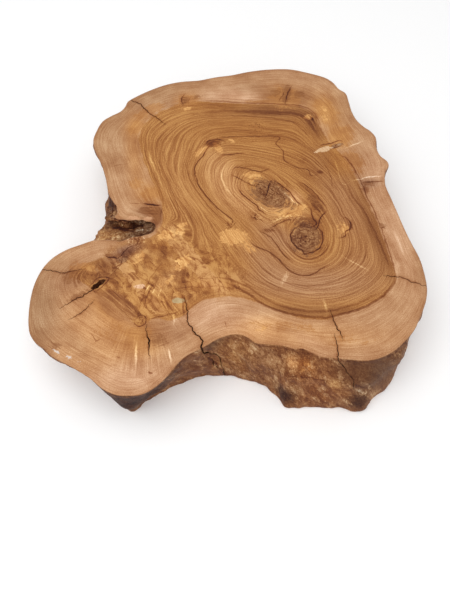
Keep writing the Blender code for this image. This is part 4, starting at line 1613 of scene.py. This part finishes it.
# %% [markdown]
# ## The material
# Shader maths is easier to follow as arithmetic than as a picture of nodes. A small
# class wraps one output of a node, and adding or multiplying two of them adds the Math
# node that does it.

# %% Arithmetic on shader sockets
OBJECT_PLACE = 3
ATTRIBUTE_COLOUR, ATTRIBUTE_NUMBER = 0, 2
MIX_SHARE, MIX_BELOW, MIX_ABOVE, MIX_COLOUR = 0, 6, 7, 2


class Signal:
    """One output of a shader node, which can be used in sums."""

    def __init__(self, tree, socket=None):
        self.tree = tree
        self.socket = socket

    def node(self, kind, settings=None, sockets=None, output=0):
        """Adds a node: its settings first, then the values or links of its sockets."""
        made = self.tree.nodes.new(kind)
        for name, value in (settings or {}).items():
            setattr(made, name, value)
        for name, value in (sockets or {}).items():
            if isinstance(value, Signal):
                self.tree.links.new(value.socket, made.inputs[name])
            else:
                made.inputs[name].default_value = value
        return Signal(self.tree, made.outputs[output])

    def maths(self, operation, *values):
        """Adds a Math node."""
        return self.node("ShaderNodeMath", {"operation": operation}, dict(enumerate(values)))

    def __add__(self, other):
        return self.maths("ADD", self, other)

    def __sub__(self, other):
        return self.maths("SUBTRACT", self, other)

    def __rsub__(self, other):
        return self.maths("SUBTRACT", other, self)

    def __mul__(self, other):
        return self.maths("MULTIPLY", self, other)

    def __rpow__(self, base):
        return self.maths("POWER", base, self)

    def __abs__(self):
        return self.maths("ABSOLUTE", self)

    __radd__ = __add__
    __rmul__ = __mul__

    def fraction(self):
        """What is left of it above a whole number."""
        return self.maths("FRACT", self)

    def sine(self):
        """Its sine, with the angle in radians."""
        return self.maths("SINE", self)

    def no_less_than(self, least):
        """The greater of it and a number."""
        return self.maths("MAXIMUM", self, least)

    def rise(self, low, high):
        """0 below low, 1 above high and smooth between. The other way round if low is above high."""
        if low > high:
            return 1.0 - self.rise(high, low)
        settings = {"interpolation_type": "SMOOTHSTEP"}
        sockets = {"Value": self, "From Min": low, "From Max": high}
        return self.node("ShaderNodeMapRange", settings, sockets)

    def towards(self, other, share):
        """Part of the way to another number."""
        return self + (other - self) * share


wood = bpy.data.materials.new("oiled_olive_wood")
wood.use_nodes = True
tree = wood.node_tree
shader = tree.nodes["Principled BSDF"]
wood_nodes = Signal(tree)
here = wood_nodes.node("ShaderNodeTexCoord", output=OBJECT_PLACE)


def carried(name):
    """A number that the mesh carries."""
    return wood_nodes.node("ShaderNodeAttribute", {"attribute_name": name}, output=ATTRIBUTE_NUMBER)


def carried_colour(name):
    """A colour that the mesh carries."""
    return wood_nodes.node("ShaderNodeAttribute", {"attribute_name": name}, output=ATTRIBUTE_COLOUR)


def mix(share, below, above):
    """One colour laid over another."""
    sockets = {MIX_SHARE: share, MIX_BELOW: below, MIX_ABOVE: above}
    return wood_nodes.node("ShaderNodeMix", {"data_type": "RGBA"}, sockets, MIX_COLOUR)


def flat(tone, light=FACE_LIGHT, gloss=FACE_GLOSS):
    """A tone as a colour for a socket."""
    return (*own_colour(tone, light, gloss), 1.0)


def separate(kind, socket, value):
    """The three parts of a colour or a place."""
    outputs = wood_nodes.node(kind, {}, {socket: value}).socket.node.outputs
    return [Signal(tree, outputs[index]) for index in range(3)]


x, y, height = separate("ShaderNodeSeparateXYZ", "Vector", here)
print("the wood's shader is", shader.name)

# %% [markdown]
# ## Stain
# Growth rings, gum lines and flames don't paint over the wood, they stain it, so a dark
# line in gold is brown and not grey. One coat lets this much red, green and blue
# through. Every mark is added up as a number of coats, and the sum is applied once.
# Most of the marks come from noise, which is soft in a cloud and drawn out in a grain.

# %% One coat of stain, and the noise that lays it
ONE_COAT = (0.64, 0.50, 0.39)


def stain(colour, coats):
    """A colour under so many coats of stain, or bleached where the number is below 0."""
    through = wood_nodes.node(
        "ShaderNodeCombineXYZ", {}, {index: share**coats for index, share in enumerate(ONE_COAT)}
    )
    return wood_nodes.node("ShaderNodeVectorMath", {"operation": "MULTIPLY"}, {0: colour, 1: through})


def cloud(scale, detail=2.0, rough=0.5, vector=None):
    """Soft noise over the slab. The scale is how many lumps there are to a metre."""
    sockets = {"Vector": vector or here, "Scale": scale, "Detail": detail, "Roughness": rough}
    return wood_nodes.node("ShaderNodeTexNoise", {}, sockets)


def grain(field, rate, along, seed, detail=2.0, rough=0.55):
    """Noise that changes fast across a field's lines and slowly along them."""
    slow = here.node("ShaderNodeVectorMath", {"operation": "SCALE"}, {0: here, "Scale": along})
    sockets = {"Vector": slow, "W": field * rate + seed, "Scale": 1.0, "Detail": detail}
    sockets["Roughness"] = rough
    return wood_nodes.node("ShaderNodeTexNoise", {"noise_dimensions": "4D"}, sockets)


def swing(signal):
    """Noise lies round a half. This makes it swing round 0."""
    return signal - 0.5


print("one coat lets through", ONE_COAT)

# %% [markdown]
# ## Rings
# A year's ring starts pale and ends in a thin dark line, so its darkness over its width
# is a saw tooth. Some years are much darker than others. Broader noise, also laid along
# the rings, makes the bands of colour, and finer noise the hair-thin grain. The sapwood
# has the same rings, but fainter, and the lobe's front has rays across them.

# %% Coats of stain from the rings
RING_RATE = 0.62
AGE_WAVES = ((16.0, 1.8), (70.0, 0.55), (260.0, 0.16))

age = carried("age")
for scale, reach in AGE_WAVES:
    age = age + swing(cloud(scale)) * reach
drift = swing(grain(age, 0.25, along=3.0, seed=5.0)) * 2.2
tooth = (age * RING_RATE + drift).fraction()
dark_year = grain(age, 0.7, along=7.0, seed=17.0).rise(0.40, 0.60)
year_line = tooth.rise(0.50, 0.94) * tooth.rise(1.0, 0.97) * dark_year
broad = swing(grain(age, 0.11, along=5.0, seed=3.0))
bands = swing(grain(age, 0.36, along=9.0, seed=11.0))
fine = swing(grain(age, 1.0, along=13.0, seed=29.0))
finest = swing(grain(age, 2.3, along=22.0, seed=37.0))
dapple = swing(grain(age, 0.5, along=36.0, seed=151.0))
hair = abs(swing(grain(age, 1.1, along=9.0, seed=47.0, detail=3.0))).rise(0.022, 0.004)
speck = swing(cloud(700.0, rough=0.6))
blotch = swing(cloud(30.0, detail=4.0, rough=0.6))
stain_cloud = swing(cloud(11.0, detail=3.0, rough=0.55))

heart_coats = broad * 0.9 + bands * 0.6 + fine * 1.4 + finest * 3.0 + year_line * 0.6 + hair * 0.8
heart_coats = heart_coats + speck * 3.0 + blotch * 0.8 - 0.06
sap_rings = broad * 0.2 + bands * 0.2 + fine * 0.5 + finest * 1.4 + year_line * 0.12 + hair * 0.4
sap_rings = sap_rings + dapple * 0.9
ray = carried("ray")
wide_rays = swing(grain(ray, 34.0, along=16.0, seed=101.0)) * 1.1
rays = wide_rays + swing(grain(ray, 90.0, along=24.0, seed=111.0)) * 1.2
rayed = carried("rayed").rise(0.25, 0.95)
sap_coats = sap_rings * (1.0 - 0.65 * rayed) + rays * rayed
sap_coats = sap_coats + speck * 1.8 + blotch * 2.0 + stain_cloud * 0.9
in_heart = (carried("heart") + swing(cloud(60.0, detail=3.0)) * 8.0).rise(-1.6, 1.6)
plain_coats = sap_coats.towards(heart_coats, in_heart)
face = mix(in_heart, carried_colour("sapwood"), carried_colour("heartwood"))
print(len(tree.nodes), "nodes up to the rings")

# %% [markdown]
# ## Fibres of the burr
# In a burr the fibres turn this way and that. Voronoi cells, laid along the flames, stand
# for patches that turn together: a cell's random colour turns its fibres, shades and
# tints them. Most cells are lively, with flakes, dashes and strands, and some are calm.

# %% Coats of stain from the burr
CELL_ACROSS, CELL_ALONG, CELL_TURN = 2.2, 62.0, 34.0
FLAKE_RATE, FLAKE_STRETCH = 5.6, 58.0
DASH_RATE, DASH_STRETCH = 7.0, 60.0
VORONOI_DISTANCE, VORONOI_COLOUR = 0, 1


def cells(across_flames, along_flames, output):
    """Voronoi cells over the burr: the distance to the nearest one's middle, or its colour."""
    place = here.node("ShaderNodeCombineXYZ", {}, {"X": across_flames, "Y": along_flames})
    settings = {"voronoi_dimensions": "2D"}
    return here.node("ShaderNodeTexVoronoi", settings, {"Vector": place, "Scale": 1.0}, output)


along_burr = x * 0.8 + y * 0.6
flame = carried("flame") + swing(cloud(24.0, detail=0.5)) * 0.6
tear = swing(cloud(130.0)) * 0.5
cell_colour = cells(flame * CELL_ACROSS + tear, along_burr * CELL_ALONG + tear, VORONOI_COLOUR)
turn, shade, tint = separate("ShaderNodeSeparateColor", "Color", cell_colour)
flame = flame + swing(turn) * along_burr * CELL_TURN
flake_colour = cells(flame * FLAKE_RATE, along_burr * FLAKE_STRETCH, VORONOI_COLOUR)
flake = swing(separate("ShaderNodeSeparateColor", "Color", flake_colour)[0])
dash = cells(flame * DASH_RATE, along_burr * DASH_STRETCH, VORONOI_DISTANCE).rise(0.24, 0.12)
# The round has split in places as it dried, most of all where it is narrowest. A crack is a wedge of air,
# wide at the face and thin at its end, with jagged sides. Each wedge is made along its path and cut out of
# the slab, which leaves true walls inside it. The paths are drawn: each place has the crack's width and
# depth there. Where the crack comes out through the live edge, it wanders sideways on its way down, so each
# crack also has its shift to the right at a few depths, and the first is where it starts.
dash = dash * cloud(55.0).rise(0.46, 0.56)
streak = swing(grain(flame, 5.0, along=48.0, seed=61.0, rough=0.6))
thread = swing(grain(flame, 8.0, along=62.0, seed=71.0, detail=1.0, rough=0.6))
strand = abs(swing(grain(flame, 6.0, along=34.0, seed=81.0, detail=1.0))).rise(0.034, 0.004)
burr_patch = swing(cloud(40.0))
calm = tint.rise(0.70, 0.78) * 0.5
lively = flake * 1.05 + streak * 0.9 + strand * 0.8 + dash * 1.2 + swing(shade) * 0.35
burr_coats = lively * (1.0 - calm) + thread * 4.0 + burr_patch * 0.3 + speck * 3.4 + 0.02

hatch_field = (x * 0.68 + y * 0.73) * (1.0 / MM)
hatch_line = abs(swing(grain(hatch_field, 0.34, along=9.0, seed=131.0, detail=0.0))).rise(0.06, 0.02)
hatch = swing(grain(hatch_field, 0.5, along=18.0, seed=121.0, detail=1.0)) * 3.8 + hatch_line * 0.9 + 0.2
hatched = (carried("hatched") + streak * 0.6).rise(0.35, 0.7)
burr_coats = burr_coats.towards(hatch + speck * 2.4 + thread, hatched)
in_burr = (carried("burr") + swing(cloud(42.0, detail=4.0)) * 34.0).rise(-5.0, 9.0)
coats = plain_coats.towards(burr_coats, in_burr)
face = mix(in_burr, face, carried_colour("heartwood"))
reddish = (burr_patch * 0.8 + streak * 1.2 + swing(shade) * 0.4).rise(0.08, 0.24) * in_burr * 0.4
face = mix(reddish, face, flat("russet"))
pale = (tint + streak * 0.8).rise(0.26, 0.14) * in_burr * 0.2
face = mix(pale, face, flat("light_honey"))
face = mix(hatched * 0.5, face, flat("rust"))
print(len(tree.nodes), "nodes up to the burr")

# %% [markdown]
# ## Patches and lines
# A patch lays its tone where its strength and some noise are high enough together, so
# its edge is ragged. The whorls round the piths are a curdled stain of their own. The
# drawn lines come last. A floor under the coats keeps the palest wood from going chalky.

# %% Patches and drawn lines
PALEST = -0.6
PATCH_TONES = {
    "ochre": ("amber_tan", 0.60, 1.0),
    "brown": ("walnut", 0.62, 1.0),
    "golden": ("bright_gold", 0.85, 0.75),
    "cream": ("cream", 0.85, 0.6),
    "blush": ("blush", 0.85, 0.7),
    "chalk": ("chalk", 0.9, 0.3),
    "slate": ("slate", 0.62, 1.0),
    # painted highlights on the lobe's rim
    "painted_glints": ("glint_white", 0.85, 0.2),
}
LINE_EDGE, HALO_EDGE = (1.3, 0.3), (5.0, 0.5)

fibre = (fine * 1.1 + finest * 0.5).towards(streak * 1.6, in_burr)
grit = swing(cloud(420.0, rough=0.6))
torn = swing(cloud(60.0, detail=3.0, rough=0.6)) * 1.1 + swing(cloud(190.0, detail=3.0, rough=0.65)) * 1.1
torn = torn + fibre + grit * 0.5
for kind, (tone, most, coats_left) in PATCH_TONES.items():
    strength = carried(kind)
    cover = (strength + torn).rise(0.40, 0.66) * strength.rise(0.03, 0.25) * most
    face = mix(cover, face, flat(tone))
    coats = coats.towards(coats * coats_left, cover)
umber = carried("umber")
coats = coats + (umber + torn * 1.3).rise(0.25, 1.1) * umber * 1.4
ridge = abs(swing(cloud(210.0, detail=3.0, rough=0.6))).rise(0.055, 0.0)
crinkle = (0.30 - ridge * 1.5 + grit * 2.4) * carried("crinkled").rise(0.3, 0.8)
whorl = abs(swing(grain(age, 1.6, along=26.0, seed=91.0))).rise(0.05, 0.01)
curdle = cloud(190.0, detail=3.0, rough=0.65).rise(0.50, 0.60) * (carried("slate") - 0.2)
pith_coats = whorl * 1.3 + curdle * 1.3 + grit * 5.0 + swing(cloud(110.0, rough=0.6)) * 3.0 + fine
coats = coats.towards(pith_coats, carried("whorled").rise(0.3, 0.9)) + crinkle
coats = coats.no_less_than(PALEST)
ragged = swing(cloud(300.0)) * 1.1
broken = cloud(120.0) * 0.9 + 0.5


def drawn(kind, halo):
    """The coats of the nearest drawn line: crisp on the line, with a faint halo."""
    gap = carried(kind + "_gap") + ragged
    return carried(kind + "_coats") * (gap.rise(*LINE_EDGE) * broken + gap.rise(*HALO_EDGE) * halo)


coats = coats + drawn("dark", 0.10) + drawn("crack", 0.3) - drawn("pale", 0.08) * 0.9
dots = wood_nodes.node("ShaderNodeTexVoronoi", {}, {"Vector": here, "Scale": 330.0})
coats = coats + dots.rise(0.34, 0.18) * carried("dotted").rise(0.35, 0.6) * 2.4
coats = coats - dots.rise(0.42, 0.2) * carried("beaded").rise(0.3, 0.6) * 1.2
rim = carried("rim") + swing(cloud(90.0)) * 5.0
coats = coats + rim.rise(5.0, 0.5) * 0.25
print(len(tree.nodes), "nodes up to the drawn lines")

# %% [markdown]
# ## The live edge, the underside and the cracks
# The peeled edge is marbled: blotches with thin darker outlines, leaning with the grain.
# Where bark has stayed on, it is checked and flecked with lichen instead. The underside
# is the same wood, sawn and not oiled, so it shows the same rings, paler, and the saw
# marks across it are a fine wave. Inside a crack and the knot hole the colour is painted
# dark, as painted shade, with paler flecks: wood on the crack walls, painted glints in the hole.

# %% Coats for the edge
DEPTH_SQUEEZE = 0.5
SAW_ACROSS, SAW_WANDER, SAW_RATE = (0.94, 0.34), 0.02, 620.0

depth = THICKNESS * MM - height
leaning_place = {"X": x - GRAIN_LEAN * depth, "Y": y, "Z": depth * DEPTH_SQUEEZE}
leaning = here.node("ShaderNodeCombineXYZ", {}, leaning_place)


def leaning_cloud(scale, detail=4.0, rough=0.6):
    """Soft noise that leans with the grain of the live edge."""
    return cloud(scale, detail, rough, leaning)


stripes = swing(leaning_cloud(95.0))
marbling = leaning_cloud(62.0, 5.0, 0.62)
plates = leaning_cloud(92.0) + stripes * 0.3
pale_plates = leaning_cloud(66.0, 5.0, 0.62) + stripes * 0.2
plate_outline = abs(swing(marbling)).rise(0.018, 0.002) + abs(plates - 0.56).rise(0.014, 0.002)
dark_plates = marbling.rise(0.488, 0.512) * 0.5 + plates.rise(0.554, 0.566) * 0.5
bare_plates = pale_plates.rise(0.565, 0.580)
flecks = swing(leaning_cloud(230.0, rough=0.7))
edge_threads = swing(leaning_cloud(480.0, detail=2.0))
smooth_edge = carried("smooth_edge")
rougher = dark_plates - bare_plates * 0.25 + plate_outline * 0.5 + flecks * 2.0
rougher = rougher + swing(cloud(18.0)) - 0.25
edge_coats = rougher * (1.0 - smooth_edge * 0.85)
edge_coats = edge_coats + stripes * 1.9 + flecks * 1.8 + edge_threads * 2.8 + speck * 2.4

bark = carried("bark")
bark_checks = abs(swing(cloud(62.0, detail=4.0, rough=0.6))).rise(0.040, 0.0)
lichen = cloud(120.0, detail=4.0, rough=0.7).rise(0.57, 0.62)
bark_coats = bark_checks * 2.0 - lichen + stripes * 3.0 + flecks * 5.0
bark_coats = bark_coats + edge_threads * 2.0 + speck * 3.0 + 0.25
edge_marks = drawn("edge", 0.12)
edge_coats = edge_coats.towards(bark_coats, bark) + crinkle * 0.8 + edge_marks

on_edge = (depth + swing(cloud(240.0)) * 0.0010).rise(0.0008, 0.0019)
on_foot = height.rise(0.0016, 0.0004)
seen_edge = on_edge * (1.0 - on_foot)
saw_marks = (x * SAW_ACROSS[0] + y * SAW_ACROSS[1] + swing(cloud(9.0)) * SAW_WANDER) * SAW_RATE
saw_coats = saw_marks.sine() * 0.10 - 0.15

bare = bare_plates * 0.42 * (1.0 - bark) * (1.0 - smooth_edge)
edge_ground = mix(bare, carried_colour("live_edge"), flat("khaki", WALL_LIGHT, WALL_GLOSS))
ground = mix(seen_edge, face, edge_ground)
all_coats = coats.towards(plain_coats * 0.8 + saw_coats, on_foot)
all_coats = all_coats.towards(edge_coats, seen_edge)
colour = stain(ground, all_coats)
# Painted shade inside the cracks and the knot hole, broken by paler flecks: the wood on the crack walls, and
# painted glints in the knot hole
painted_shade_in_cracks = carried("cut") * (1.0 - cloud(260.0).rise(0.48, 0.60) * 0.6)
colour = mix(painted_shade_in_cracks, colour, flat("crack"))
print(len(tree.nodes), "nodes up to the live edge")

# %% [markdown]
# ## Relief and sheen
# The finest relief of the live edge is only a bump, and the face has hardly any. A Bump
# node works out its height several times over, so only a short sum goes into it, with
# nothing of the face's figure. The oiled face is smoother than the bare wood.

# %% Join the parts of the material
BUMP_STRENGTH, BUMP_DISTANCE = 0.5, 0.0013
OILED_ROUGHNESS, SPECULAR_LEVEL = 0.42, 0.22

edge_height = marbling * 1.2 + stripes * 1.4 + flecks * 0.9 - plate_outline * 0.25 - edge_marks * 0.15
bump_height = seen_edge * (edge_height + bark_checks * bark * -0.6) + speck * 0.12
bump_sockets = {"Strength": BUMP_STRENGTH, "Distance": BUMP_DISTANCE, "Height": bump_height}
bump = wood_nodes.node("ShaderNodeBump", {}, bump_sockets)
roughness = OILED_ROUGHNESS + seen_edge * 0.24 + on_foot * 0.2 + swing(cloud(60.0)) * 0.14 + coats * 0.03
tree.links.new(colour.socket, shader.inputs["Base Color"])
tree.links.new(roughness.socket, shader.inputs["Roughness"])
tree.links.new(bump.socket, shader.inputs["Normal"])
shader.inputs["Specular IOR Level"].default_value = SPECULAR_LEVEL
print(len(tree.nodes), "nodes in the wood")

# %% [markdown]
# ## Hand over
# The slab is smooth over its rounded edges and sharp in its cracks. It rides on the
# object's one body and stands for the plain solid.

# %% Finish
SHARP_ANGLE = math.radians(40)

cut_mesh.materials.clear()
cut_mesh.materials.append(wood)
cut_mesh.polygons.foreach_set("material_index", np.zeros(len(cut_mesh.polygons), np.int32))
cut_mesh.shade_smooth()
cut_mesh.set_sharp_from_angle(angle=SHARP_ANGLE)
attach(slab, "root")
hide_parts("olive_wood_round")
